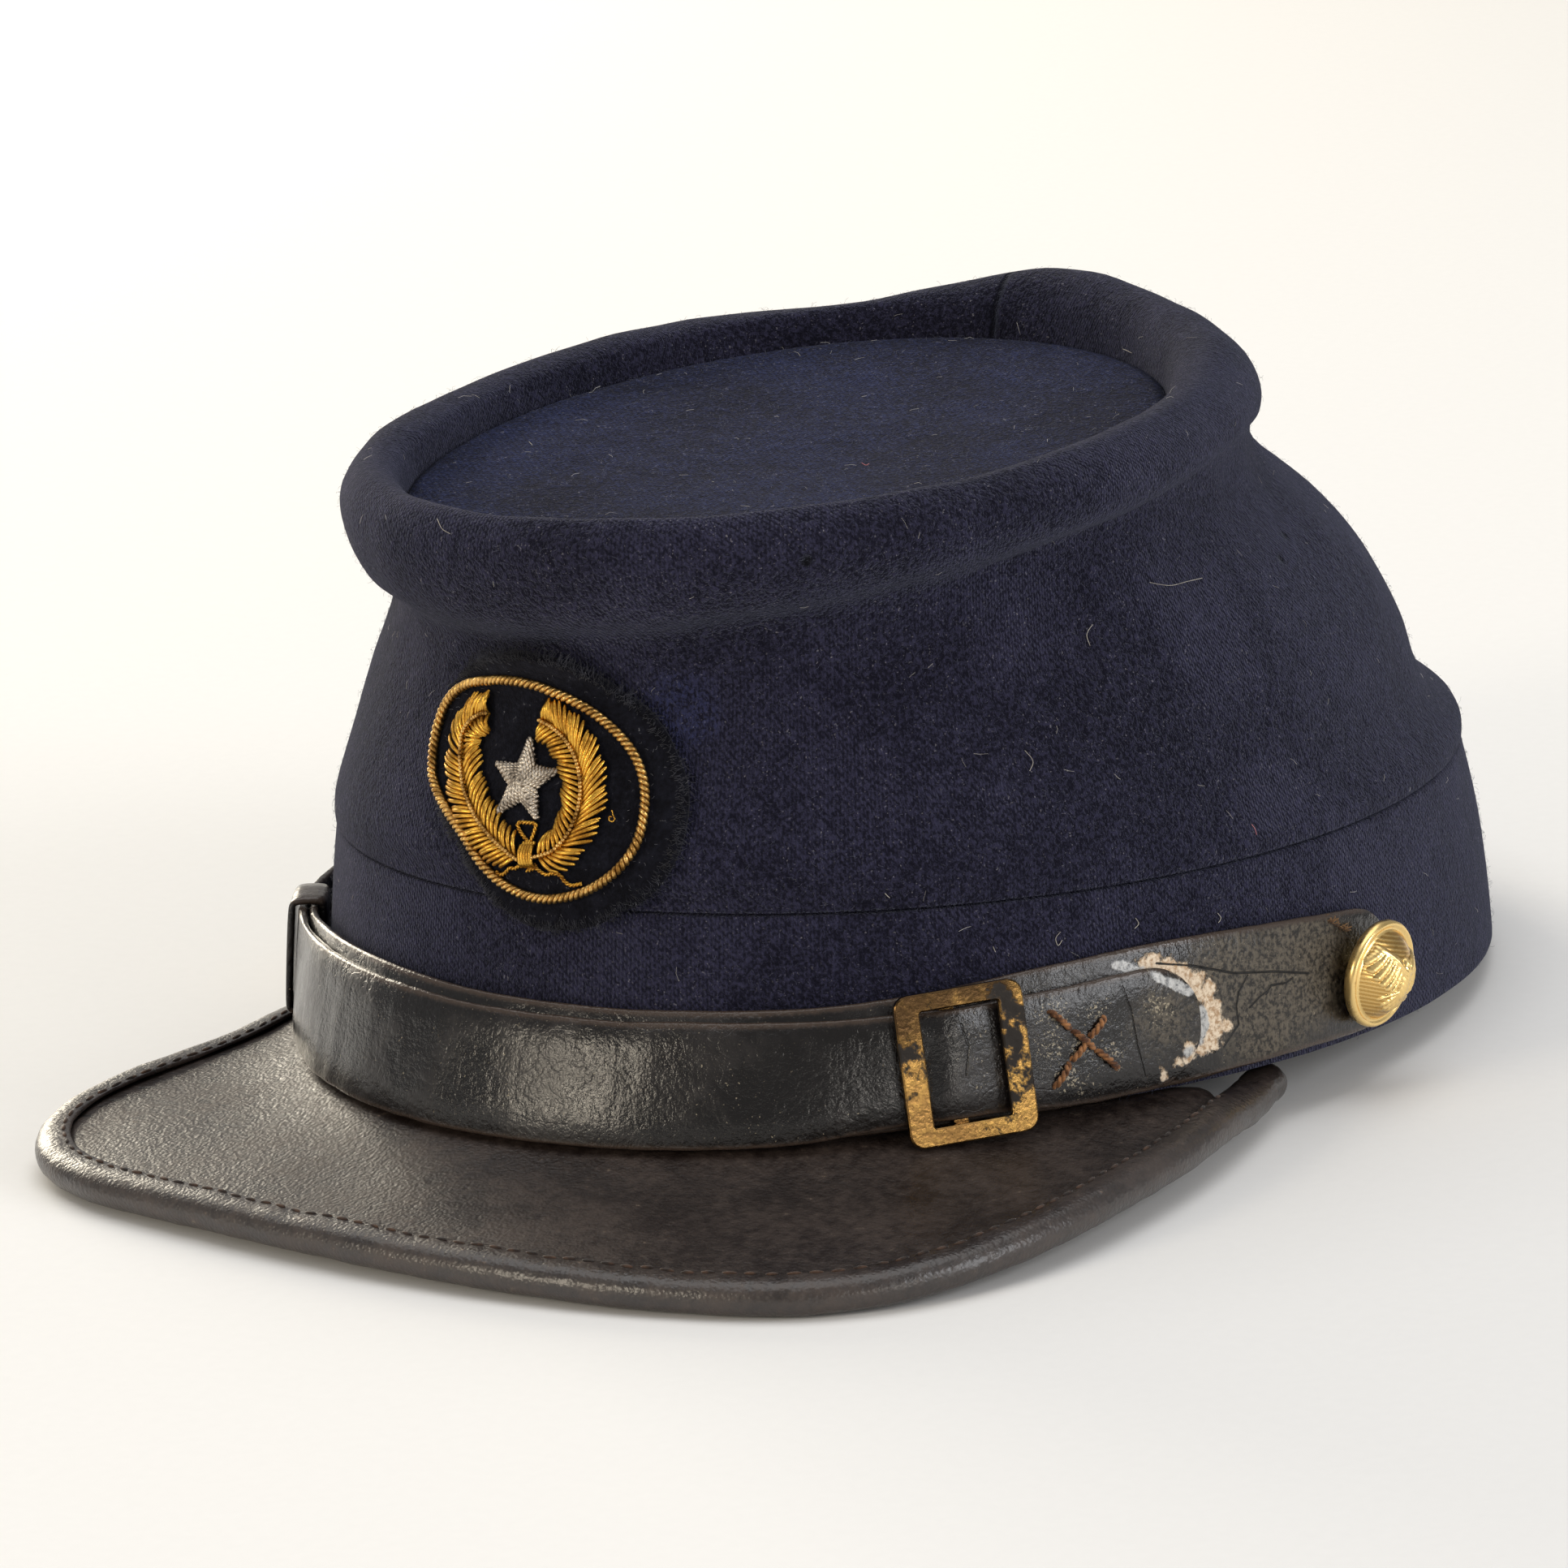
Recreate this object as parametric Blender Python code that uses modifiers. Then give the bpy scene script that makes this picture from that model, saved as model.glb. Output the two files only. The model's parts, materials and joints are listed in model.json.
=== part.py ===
"""A forage cap of dark blue wool with a leather peak, a chin strap and a gold badge.

Lengths are in metres. Every piece is drawn in the cap's own frame: the band stands on the plane
z = 0, the front looks towards -Y and the wearer's left is +X. Angles round the cap are in degrees
from the front, positive towards the wearer's left. The whole cap is then tipped a little, front
up, to lie on the back of its band and the edge of its peak, as it does on a table.
"""

import math
from collections import namedtuple

import bpy
import bmesh
from mathutils import Matrix, Vector

CAP_NAME = "forage_cap"
GAP = 0.0003
MERGE = 0.00001

# Section: heights at the four quarters, centre of the oval, and its half length and half width
Section = namedtuple("Section", "z_front z_left z_back z_right y_centre half_length half_width")

ROUND_STEPS = 42
BAND_WALL = 0.0024
BAND_SECTIONS = (
    Section(0.0000, -0.0004, -0.0008, -0.0004, 0.0000, 0.0988, 0.0804),
    Section(0.0150, 0.0148, 0.0156, 0.0150, -0.0002, 0.0975, 0.0793),
    Section(0.0292, 0.0290, 0.0318, 0.0300, -0.0018, 0.0942, 0.0772),
)
SEAM = BAND_SECTIONS[-1]

CROWN_WALL = 0.0020
CROWN_SECTIONS = (
    Section(0.0296, 0.0294, 0.0322, 0.0304, -0.0018, 0.0945, 0.0775),
    Section(0.0315, 0.0313, 0.0341, 0.0322, -0.0019, 0.0945, 0.0775),
    Section(0.0358, 0.0366, 0.0388, 0.0368, -0.0068, 0.0909, 0.0740),
    Section(0.0445, 0.0459, 0.0473, 0.0459, -0.0057, 0.0880, 0.0718),
    Section(0.0507, 0.0544, 0.0581, 0.0544, -0.0075, 0.0837, 0.0686),
    Section(0.0565, 0.0630, 0.0689, 0.0622, -0.0119, 0.0780, 0.0643),
    Section(0.0610, 0.0710, 0.0745, 0.0664, -0.0166, 0.0736, 0.0608),
    Section(0.0655, 0.0785, 0.0800, 0.0705, -0.0206, 0.0707, 0.0587),
    Section(0.0688, 0.0796, 0.0836, 0.0736, -0.0240, 0.0732, 0.0612),
    Section(0.0756, 0.0822, 0.0884, 0.0798, -0.0263, 0.0745, 0.0625),
    Section(0.0806, 0.0863, 0.0928, 0.0842, -0.0280, 0.0728, 0.0610),
    Section(0.0836, 0.0890, 0.0958, 0.0871, -0.0296, 0.0690, 0.0572),
    Section(0.0826, 0.0882, 0.0948, 0.0866, -0.0304, 0.0652, 0.0534),
    Section(0.0792, 0.0852, 0.0912, 0.0852, -0.0307, 0.0632, 0.0514),
    Section(0.0742, 0.0802, 0.0862, 0.0802, -0.0307, 0.0627, 0.0509),
)
NECK_PLACE = 7
CREST_PLACE = 11

# Fold: where the cloth swells or sinks, how far it spreads, and how far it moves out and up
Fold = namedtuple("Fold", "phi z phi_spread z_spread out up")
FOLDS = (
    Fold(140.0, 0.0358, 44.0, 0.0022, 0.0022, 0.0),
    Fold(222.0, 0.0360, 34.0, 0.0030, 0.0020, 0.0),
    Fold(120.0, 0.0735, 36.0, 0.0066, -0.0050, 0.0),
    Fold(40.0, 0.0610, 26.0, 0.0060, -0.0014, 0.0),
    Fold(-28.0, 0.0560, 18.0, 0.0055, -0.0010, 0.0),
    Fold(175.0, 0.0960, 12.0, 0.0090, 0.0006, 0.0022),
    Fold(210.0, 0.0940, 19.0, 0.0090, -0.0006, -0.0026),
)

DISC_PLATE = 0.0024
DISC_SAG = 0.0012
DISC_EDGE = Section(0.0764, 0.0824, 0.0884, 0.0824, -0.0307, 0.06235, 0.05055)
DISC_RINGS = (1.0, 0.7, 0.35)

# PeakRow: how far the middle of the peak's rolled edge stands out from the band at each angle
PeakRow = namedtuple("PeakRow", "phi reach")
PEAK_ROWS = (
    PeakRow(-74.0, -0.0046),
    PeakRow(-69.0, -0.0006),
    PeakRow(-64.0, 0.0030),
    PeakRow(-59.0, 0.0062),
    PeakRow(-54.0, 0.0100),
    PeakRow(-50.0, 0.0165),
    PeakRow(-46.0, 0.0265),
    PeakRow(-43.0, 0.0345),
    PeakRow(-40.0, 0.0402),
    PeakRow(-36.0, 0.0430),
    PeakRow(-31.0, 0.0430),
    PeakRow(-25.0, 0.0397),
    PeakRow(-18.0, 0.0358),
    PeakRow(-9.0, 0.0340),
    PeakRow(0.0, 0.0346),
    PeakRow(8.0, 0.0366),
    PeakRow(15.0, 0.0396),
    PeakRow(21.0, 0.0424),
    PeakRow(26.0, 0.0441),
    PeakRow(30.0, 0.0433),
    PeakRow(35.0, 0.0400),
    PeakRow(40.0, 0.0346),
    PeakRow(45.0, 0.0282),
    PeakRow(50.0, 0.0214),
    PeakRow(55.0, 0.0155),
    PeakRow(60.0, 0.0098),
    PeakRow(64.0, 0.0052),
    PeakRow(69.0, 0.0004),
    PeakRow(74.0, -0.0042),
)
PEAK_LEATHER = 0.0024
PEAK_FALL = 0.220
PEAK_BREAK = 0.0018
PEAK_BREAK_REACH = 0.0060
PEAK_CURL = 0.0040
PEAK_CURL_WIDTH = 0.085
PEAK_CURL_DEPTH = 0.030
PEAK_HORN_PHI = 64.0
PEAK_TUCK = 0.0012
PEAK_COLUMNS = 36
PEAK_STEPS = 4
HORN_DROP = 0.0023
HORN_DROP_FULL = 0.0004
HORN_DROP_FROM = 0.0090

BINDING_RADIUS = 0.0027
BINDING_FLANGE = 0.0030
BINDING_SLOT = 0.0031
BINDING_STATIONS = 47
BINDING_ARC_STEPS = 4

# StrapRow: how far the strap's inner face stands off the band at its two edges, and their heights
StrapRow = namedtuple("StrapRow", "phi lift_low lift_high z_low z_high")
STRAP_LEATHER = 0.0012
STRAP_STEP = 3.3
BUTTON_PHI = 82.3
BUTTON_Z = 0.0097
STRAP_OVER_BUTTON = 4.8
STRAP_LONG_ROWS = (
    StrapRow(-BUTTON_PHI - STRAP_OVER_BUTTON, 0.0005, 0.0005, 0.0011, 0.0179),
    StrapRow(-BUTTON_PHI, 0.0005, 0.0005, 0.0011, 0.0179),
    StrapRow(-72.0, 0.0007, 0.0007, 0.0008, 0.0172),
    StrapRow(-64.0, 0.0024, 0.0022, 0.0010, 0.0163),
    StrapRow(-57.6, 0.0034, 0.0032, 0.0013, 0.0157),
    StrapRow(-51.6, 0.0035, 0.0032, 0.0013, 0.0157),
    StrapRow(-42.0, 0.0042, 0.0028, -0.0006, 0.0158),
    StrapRow(-28.0, 0.0052, 0.0023, -0.0014, 0.0158),
    StrapRow(-10.0, 0.0056, 0.0021, -0.0018, 0.0153),
    StrapRow(8.0, 0.0056, 0.0021, -0.0018, 0.0150),
    StrapRow(24.0, 0.0053, 0.0023, -0.0012, 0.0152),
    StrapRow(33.6, 0.0042, 0.0030, 0.0006, 0.0157),
    StrapRow(36.2, 0.0041, 0.0031, 0.0010, 0.0160),
    StrapRow(38.0, 0.0051, 0.0041, 0.0014, 0.0162),
    StrapRow(39.7, 0.0051, 0.0041, 0.0014, 0.0163),
    StrapRow(43.0, 0.0040, 0.0030, 0.0013, 0.0165),
    StrapRow(47.0, 0.0036, 0.0027, 0.0011, 0.0169),
    StrapRow(53.0, 0.0028, 0.0023, 0.0009, 0.0175),
    StrapRow(62.2, 0.0021, 0.0021, 0.0013, 0.0181),
)
STRAP_SHORT_ROWS = (
    StrapRow(-58.6, 0.0018, 0.0016, 0.0014, 0.0157),
    StrapRow(-51.6, 0.0019, 0.0016, 0.0014, 0.0157),
    StrapRow(-42.0, 0.0026, 0.0012, -0.0002, 0.0170),
    StrapRow(-28.0, 0.0036, 0.0008, -0.0008, 0.0174),
    StrapRow(-10.0, 0.0040, 0.0006, -0.0012, 0.0167),
    StrapRow(8.0, 0.0040, 0.0006, -0.0012, 0.0163),
    StrapRow(24.0, 0.0037, 0.0007, -0.0010, 0.0165),
    StrapRow(33.0, 0.0026, 0.0008, -0.0004, 0.0173),
    StrapRow(40.0, 0.0018, 0.0008, 0.0000, 0.0184),
    StrapRow(48.0, 0.0013, 0.0007, 0.0003, 0.0198),
    StrapRow(60.0, 0.0006, 0.0005, 0.0007, 0.0206),
    StrapRow(72.0, 0.0005, 0.0005, 0.0012, 0.0198),
    StrapRow(BUTTON_PHI, 0.0005, 0.0005, 0.0010, 0.0184),
    StrapRow(BUTTON_PHI + STRAP_OVER_BUTTON, 0.0005, 0.0005, 0.0010, 0.0184),
)
STRAP_HOLE_RADIUS = 0.0019
STRAP_HOLE_SIDES = 16
STRAP_HOLE_DEPTH = 0.0100
ROUND_END_STEPS = 5

KEEPER_PHI = (-57.6, -51.6)
KEEPER_LEATHER = 0.0010
KEEPER_LIFTS = (0.0003, 0.0060)
KEEPER_HEIGHTS = (-0.0001, 0.0171)
KEEPER_CORNER = 0.0016
KEEPER_CORNER_STEPS = 3

BUCKLE_PHI = 39.6
BUCKLE_Z = 0.0090
BUCKLE_LIFT = 0.0052
BUCKLE_WIDTH = 0.0181
BUCKLE_HEIGHT = 0.0210
BUCKLE_CORNER = 0.0020
BUCKLE_SIDE_BAR = 0.0035
BUCKLE_RAIL = 0.0025
BUCKLE_PLATE = 0.0012
BUCKLE_EDGE_ROUND = 0.0002
BUCKLE_ROLL = 4.4
BUCKLE_LEAN = 6.5
BUCKLE_BAR_OFFSET = -0.0012
BUCKLE_BAR_WIDTH = 0.0020
BUCKLE_BAR_THICK = 0.0008
BUCKLE_BAR_DROP = 0.0022
BUCKLE_FOOT = 0.0010
BUCKLE_CORNER_STEPS = 4

# Button: radius and height of each point of its turned outline, heights from the back of the head
TurnPoint = namedtuple("TurnPoint", "radius height")
BUTTON_LIFT = 0.0030
BUTTON_OUTLINE = (
    TurnPoint(0.0000, 0.0040),
    TurnPoint(0.0022, 0.0038),
    TurnPoint(0.0044, 0.0032),
    TurnPoint(0.0062, 0.0022),
    TurnPoint(0.0067, 0.0021),
    TurnPoint(0.0073, 0.0022),
    TurnPoint(0.0077, 0.0017),
    TurnPoint(0.0077, 0.0010),
    TurnPoint(0.0072, 0.0004),
    TurnPoint(0.0060, 0.0000),
    TurnPoint(0.0015, 0.0000),
    TurnPoint(0.0015, -BUTTON_LIFT + GAP),
    TurnPoint(0.0000, -BUTTON_LIFT + GAP),
)
BUTTON_STEPS = 20

# Badge: places on it are given across and up from its middle, and lifts off the cloth
BADGE_PHI = -2.6
BADGE_Z = 0.0452
BADGE_TURN_RADIUS = 0.074
NORMAL_STEP = 0.003
PATCH_CENTRE = (0.0015, -0.0004)
PATCH_HALF = (0.0235, 0.0191)
PATCH_CLOTH = 0.0010
PATCH_LIFT = 0.0009
PATCH_STEPS = 28
PATCH_RINGS = (1.0, 0.8, 0.6, 0.4, 0.2)
CORD_HALF = (0.0178, 0.0148)
CORD_RADIUS = 0.00065
CORD_POINTS = 32
MOTIF_GAP = 0.0005
MOTIF_LIFT = PATCH_LIFT + PATCH_CLOTH + MOTIF_GAP
SPRAY_HALF = (0.0092, 0.0108)
SPRAY_RISE = 0.0008
SPRAY_FROM = -80.0
SPRAY_TO = 62.0
SPRAY_HALF_WIDTH = 0.0030
SPRAY_HEIGHT = 0.0013
SPRAY_LEAVES = 7
SPRAY_STATIONS = 22
SPRAY_NOTCH = 0.22
STAR_POINTS = 5
STAR_RADIUS = 0.0056
STAR_WAIST = 0.0026
STAR_HEIGHT = 0.0012
STAR_EDGE = 0.0005
STAR_UP = 0.0012
TIE_WIRE = 0.00040
TIE_UP = -0.0129
TIE_POINTS = 21
TIE_SPREAD = 0.0046
TIE_WAVE = 0.0002


def turned(phi):
    """Cosine and sine of an angle round the cap."""
    return math.cos(math.radians(phi)), math.sin(math.radians(phi))


def smooth_step(low, high, value):
    t = min(max((value - low) / (high - low), 0.0), 1.0)
    return t * t * (3 - 2 * t)


def curve_through(before, start, end, after, t):
    """A smooth value between start and end, with their neighbours giving the slopes."""
    slope_start = (end - before) / 2
    slope_end = (after - start) / 2
    return (start * (2 * t**3 - 3 * t**2 + 1) + end * (3 * t**2 - 2 * t**3)
            + slope_start * (t**3 - 2 * t**2 + t) + slope_end * (t**3 - t**2))


def between(rows, place):
    """The row at a place counted from 0 along a table, blended smoothly column by column."""
    i = min(int(place), len(rows) - 2)
    before = rows[max(i - 1, 0)]
    after = rows[min(i + 2, len(rows) - 1)]
    blend = [curve_through(a, b, c, d, place - i)
             for a, b, c, d in zip(before, rows[i], rows[i + 1], after)]
    return type(rows[0])(*blend)


def section_height(section, phi):
    """Height of a section at an angle: a smooth wave through its four quarter heights."""
    c, s = turned(phi)
    front, left, back, right = section[:4]
    mean = (front + left + back + right) / 4
    twice = (front + back - left - right) / 4
    return mean + (front - back) / 2 * c + (left - right) / 2 * s + twice * (2 * c * c - 1)


def oval_normal(section, phi):
    c, s = turned(phi)
    return Vector((section.half_length * s, -section.half_width * c, 0)).normalized()


def section_point(section, phi, lift=0.0):
    c, s = turned(phi)
    point = Vector((section.half_width * s, section.y_centre - section.half_length * c,
                    section_height(section, phi)))
    return point + oval_normal(section, phi) * lift


def fold_move(phi, z):
    """How far the folds move the cloth out and up at a place."""
    out, up = 0.0, 0.0
    for fold in FOLDS:
        turn = (phi - fold.phi + 180) % 360 - 180
        share = math.exp(-(turn / fold.phi_spread)**2 - ((z - fold.z) / fold.z_spread)**2)
        out += fold.out * share
        up += fold.up * share
    return out, up


def crown_point(place, phi):
    section = between(CROWN_SECTIONS, place)
    z = section_height(section, phi)
    share = min(place, 1.0) * (1 - smooth_step(CREST_PLACE, CREST_PLACE + 2, place))
    out, up = fold_move(phi, z)
    return section_point(section, phi, out * share) + Vector((0, 0, up * share))


def band_section(z):
    """The band's oval at a height, level with its bottom edge or its seam past them."""
    top = (SEAM.z_front + SEAM.z_back) / 2
    place = min(max(z / top, 0.0), 1.0) * (len(BAND_SECTIONS) - 1)
    return between(BAND_SECTIONS, place)


def band_face(phi, z, lift):
    """A point off the outside of the band, at its own height."""
    section = band_section(z)
    point = section_point(section, phi, lift)
    return Vector((point.x, point.y, z))


def cloth_point(phi, z):
    """The outside of the band or of the crown's side at an angle and a height."""
    if z <= section_height(SEAM, phi):
        return band_face(phi, z, 0.0)
    low, high = 0.0, float(NECK_PLACE)
    for _ in range(30):
        middle = (low + high) / 2
        if crown_point(middle, phi).z < z:
            low = middle
        else:
            high = middle
    point = crown_point(low, phi)
    return Vector((point.x, point.y, z))


def ring_angles(count):
    return [360.0 * i / count for i in range(count)]


def skin(rings, round_closed=True, length_closed=False, capped=False):
    """A mesh over a list of rings of points, closed round, along or at its ends as asked."""
    bm = bmesh.new()
    rows = [[bm.verts.new(point) for point in ring] for ring in rings]
    count = len(rows[0])
    pairs = list(zip(rows, rows[1:]))
    if length_closed:
        pairs.append((rows[-1], rows[0]))
    for low, high in pairs:
        for i in range(count if round_closed else count - 1):
            j = (i + 1) % count
            bm.faces.new((low[i], low[j], high[j], high[i]))
    if capped:
        bm.faces.new(list(reversed(rows[0])))
        bm.faces.new(rows[-1])
    if capped or length_closed:
        bmesh.ops.recalc_face_normals(bm, faces=bm.faces[:])
    return bm


def add_object(name, bm, finish, rest, sharp_angle=40.0):
    mesh = bpy.data.meshes.new(name)
    bm.to_mesh(mesh)
    bm.free()
    obj = bpy.data.objects.new(name, mesh)
    mesh.shade_smooth()
    mesh.set_sharp_from_angle(angle=math.radians(sharp_angle))
    settle(obj, finish, rest)
    return obj


def settle(obj, finish, rest):
    """Put an object in the cap's collection, give it its finish and hang it on the empty."""
    bpy.data.collections[CAP_NAME].objects.link(obj)
    obj.data.materials.clear()
    obj.data.materials.append(finish)
    obj.parent = rest


def add_wall(obj, thickness, outward=False):
    wall = obj.modifiers.new("wall", "SOLIDIFY")
    wall.thickness = thickness
    wall.offset = 1.0 if outward else -1.0
    wall.use_even_offset = True


def finish(name, colour, roughness, metallic=0.0):
    material = bpy.data.materials.new(name)
    material.use_nodes = True
    shader = material.node_tree.nodes["Principled BSDF"]
    shader.inputs["Base Color"].default_value = (*colour, 1.0)
    shader.inputs["Roughness"].default_value = roughness
    shader.inputs["Metallic"].default_value = metallic
    return material


def mesh_of_curve(name, data):
    """A curve's evaluated body as a mesh with its caps welded on."""
    source = bpy.data.objects.new(name + "_curve", data)
    bpy.context.scene.collection.objects.link(source)
    graph = bpy.context.evaluated_depsgraph_get()
    mesh = bpy.data.meshes.new_from_object(source.evaluated_get(graph))
    bpy.data.objects.remove(source)
    bm = bmesh.new()
    bm.from_mesh(mesh)
    bpy.data.meshes.remove(mesh)
    bmesh.ops.remove_doubles(bm, verts=bm.verts[:], dist=MERGE)
    return bm


def build_band(cloth, rest):
    rings = []
    for step in range(2 * len(BAND_SECTIONS) - 1):
        section = between(BAND_SECTIONS, step / 2)
        rings.append([section_point(section, phi) for phi in ring_angles(ROUND_STEPS)])
    add_wall(add_object("band", skin(rings), cloth, rest), BAND_WALL)


def build_crown_side(cloth, rest):
    last = len(CROWN_SECTIONS) - 1
    places = [0, 1] + [1 + step / 2 for step in range(1, 2 * (last - 2) + 1)] + [last]
    rings = [[crown_point(place, phi) for phi in ring_angles(ROUND_STEPS)] for place in places]
    add_wall(add_object("crown_side", skin(rings), cloth, rest, 60.0), CROWN_WALL)


def build_crown_disc(cloth, rest):
    rings = []
    for part in DISC_RINGS:
        section = DISC_EDGE._replace(half_length=DISC_EDGE.half_length * part,
                                     half_width=DISC_EDGE.half_width * part)
        fall = DISC_SAG * (1 - part**2)
        middle = (DISC_EDGE.z_front + DISC_EDGE.z_back) / 2
        heights = [middle + (z - middle) * part - fall for z in DISC_EDGE[:4]]
        section = Section(*heights, *section[4:])
        rings.append([section_point(section, phi) for phi in ring_angles(ROUND_STEPS)])
    bm = skin(rings)
    bm.verts.ensure_lookup_table()
    bm.faces.new(bm.verts[-ROUND_STEPS:])
    add_wall(add_object("crown_disc", bm, cloth, rest), DISC_PLATE)


def row_at(rows, phi):
    """A table's row at an angle, blended between its rows."""
    for i in range(len(rows) - 1):
        if phi <= rows[i + 1].phi or i == len(rows) - 2:
            t = (phi - rows[i].phi) / (rows[i + 1].phi - rows[i].phi)
            return between(rows, i + min(max(t, 0.0), 1.0))


def peak_edge(phi):
    """The middle of the peak's rolled edge at an angle, seen from above."""
    point = section_point(BAND_SECTIONS[0], phi, row_at(PEAK_ROWS, phi).reach)
    return Vector((point.x, point.y, 0))


def edge_out(phi):
    """The level direction that points away from the cap, square to the peak's edge."""
    step = 1.0
    along = peak_edge(phi + step) - peak_edge(phi - step)
    return Vector((along.y, -along.x, 0)).normalized()


def outside_band(point):
    """How far a point lies outside the band's bottom oval, seen from above."""
    base = BAND_SECTIONS[0]
    scale = math.hypot(point.x / base.half_width, point.y / base.half_length)
    return (1 - 1 / scale) * math.hypot(point.x, point.y)


def horn_drop(phi):
    """The horns dip so that their binding passes under the band and the strap."""
    reach = row_at(PEAK_ROWS, phi).reach
    return HORN_DROP * (1 - smooth_step(HORN_DROP_FULL, HORN_DROP_FROM, reach))


def peak_middle(point, drop):
    """The point moved to the middle of the peak's leather, which hangs under the band's edge."""
    base = BAND_SECTIONS[0]
    phi = math.degrees(math.atan2(point.x / base.half_width, -point.y / base.half_length))
    reach = max(outside_band(point), 0.0)
    bend = PEAK_BREAK * (1 - math.exp(-reach / PEAK_BREAK_REACH))
    curl = PEAK_CURL * (point.x / PEAK_CURL_WIDTH)**2 * min(reach / PEAK_CURL_DEPTH, 1.0)
    top = section_height(base, phi) - GAP - PEAK_FALL * reach - bend + curl - drop
    return Vector((point.x, point.y, top - PEAK_LEATHER / 2))


def build_peak(leather, rest):
    base = BAND_SECTIONS[0]
    half = Vector((0, 0, PEAK_LEATHER / 2))
    columns = []
    for i in range(PEAK_COLUMNS):
        phi = PEAK_HORN_PHI * (2 * i / (PEAK_COLUMNS - 1) - 1)
        drop = horn_drop(phi)
        inner = section_point(base, phi, -BAND_WALL)
        wall = section_point(base, phi)
        edge = peak_edge(phi) - edge_out(phi) * PEAK_TUCK
        points = [inner] + [wall.lerp(edge, k / PEAK_STEPS) for k in range(PEAK_STEPS + 1)]
        columns.append([peak_middle(point, drop) + half for point in points])
    bm = skin(columns, round_closed=False)
    add_wall(add_object("peak", bm, leather, rest), PEAK_LEATHER)


def binding_profile():
    """The binding's section: how far out and how far up each point lies."""
    slot = BINDING_SLOT / 2
    points = [(-BINDING_FLANGE, slot), (-BINDING_FLANGE, BINDING_RADIUS * 0.85)]
    for k in range(BINDING_ARC_STEPS + 1):
        angle = math.radians(90 - 180 * k / BINDING_ARC_STEPS)
        points.append((BINDING_RADIUS * math.cos(angle), BINDING_RADIUS * math.sin(angle)))
    points += [(-BINDING_FLANGE, -BINDING_RADIUS * 0.85), (-BINDING_FLANGE, -slot)]
    return points + [(0.0, -slot), (0.0, slot)]


def build_peak_binding(leather, rest):
    rings = []
    first, last = PEAK_ROWS[0].phi, PEAK_ROWS[-1].phi
    for i in range(BINDING_STATIONS):
        phi = first + (last - first) * i / (BINDING_STATIONS - 1)
        out = edge_out(phi)
        middle = peak_edge(phi)
        drop = horn_drop(phi)
        slope = (peak_middle(middle + out * BINDING_RADIUS, drop)
                 - peak_middle(middle - out * BINDING_RADIUS, drop)).normalized()
        up = slope.cross(Vector((-out.y, out.x, 0)))
        if up.z < 0:
            up = -up
        centre = peak_middle(middle, drop)
        rings.append([centre + slope * a + up * b for a, b in binding_profile()])
    add_object("peak_binding", skin(rings, capped=True), leather, rest)


def arc_rate(phi):
    """Metres along the band for each degree at an angle."""
    c, s = turned(phi)
    base = BAND_SECTIONS[0]
    return math.radians(1) * math.hypot(base.half_width * c, base.half_length * s)


def strap_stations(rows, round_start, round_end):
    """Angles along a strap with the share of its width at each, narrowed at a round end."""
    first, last = rows[0].phi, rows[-1].phi
    stations = [(first, 1.0)]
    for low, high in zip(rows, rows[1:]):
        count = max(round((high.phi - low.phi) / STRAP_STEP), 1)
        stations += [(low.phi + (high.phi - low.phi) * k / count, 1.0)
                     for k in range(1, count + 1)]
    for end, inward, is_round in ((first, 1, round_start), (last, -1, round_end)):
        if not is_round:
            continue
        row = row_at(rows, end)
        reach = (row.z_high - row.z_low) / 2 / arc_rate(end)
        stations = [pair for pair in stations if abs(pair[0] - end) > reach]
        for k in range(ROUND_END_STEPS + 1):
            angle = math.radians(14 + 76 * k / ROUND_END_STEPS)
            place = end + inward * reach * (1 - math.cos(angle))
            stations.append((place, math.sin(angle)))
    return sorted(stations)


def strap_ring(row, share):
    """The four corners of the strap's section at a row."""
    middle = (row.z_low + row.z_high) / 2
    half = (row.z_high - row.z_low) / 2 * share
    lift_middle = (row.lift_low + row.lift_high) / 2
    lift_half = (row.lift_high - row.lift_low) / 2 * share
    low = band_face(row.phi, middle - half, lift_middle - lift_half)
    high = band_face(row.phi, middle + half, lift_middle + lift_half)
    up = (high - low).normalized()
    c, s = turned(row.phi)
    base = BAND_SECTIONS[0]
    along = Vector((base.half_width * c, base.half_length * s, 0)).normalized()
    out = along.cross(up) * STRAP_LEATHER
    return [low, low + out, high + out, high]


def build_strap(name, rows, leather, rest, round_start, round_end):
    rings = []
    for phi, share in strap_stations(rows, round_start, round_end):
        row = row_at(rows, phi)
        rings.append(strap_ring(row._replace(phi=phi), share))
    return add_object(name, skin(rings, capped=True), leather, rest)


def button_frame(side):
    """Where a button stands: its axis leaves the band square to it."""
    phi = side * BUTTON_PHI
    out = oval_normal(band_section(BUTTON_Z), phi)
    place = band_face(phi, BUTTON_Z, BUTTON_LIFT)
    return place, out


def punch_strap(strap, side, rest):
    """Cut the round hole that the button's shank passes through."""
    place, out = button_frame(side)
    bpy.ops.mesh.primitive_cylinder_add(vertices=STRAP_HOLE_SIDES, radius=STRAP_HOLE_RADIUS,
                                        depth=STRAP_HOLE_DEPTH)
    cutter = bpy.context.object
    cutter.name = strap.name + "_hole"
    for holder in list(cutter.users_collection):
        holder.objects.unlink(cutter)
    bpy.data.collections["cutters"].objects.link(cutter)
    cutter.rotation_euler = out.to_track_quat("Z", "Y").to_euler()
    cutter.location = place
    cutter.parent = rest
    cutter.hide_render = True
    cutter.display_type = "WIRE"
    hole = strap.modifiers.new("hole", "BOOLEAN")
    hole.operation = "DIFFERENCE"
    hole.object = cutter


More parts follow.
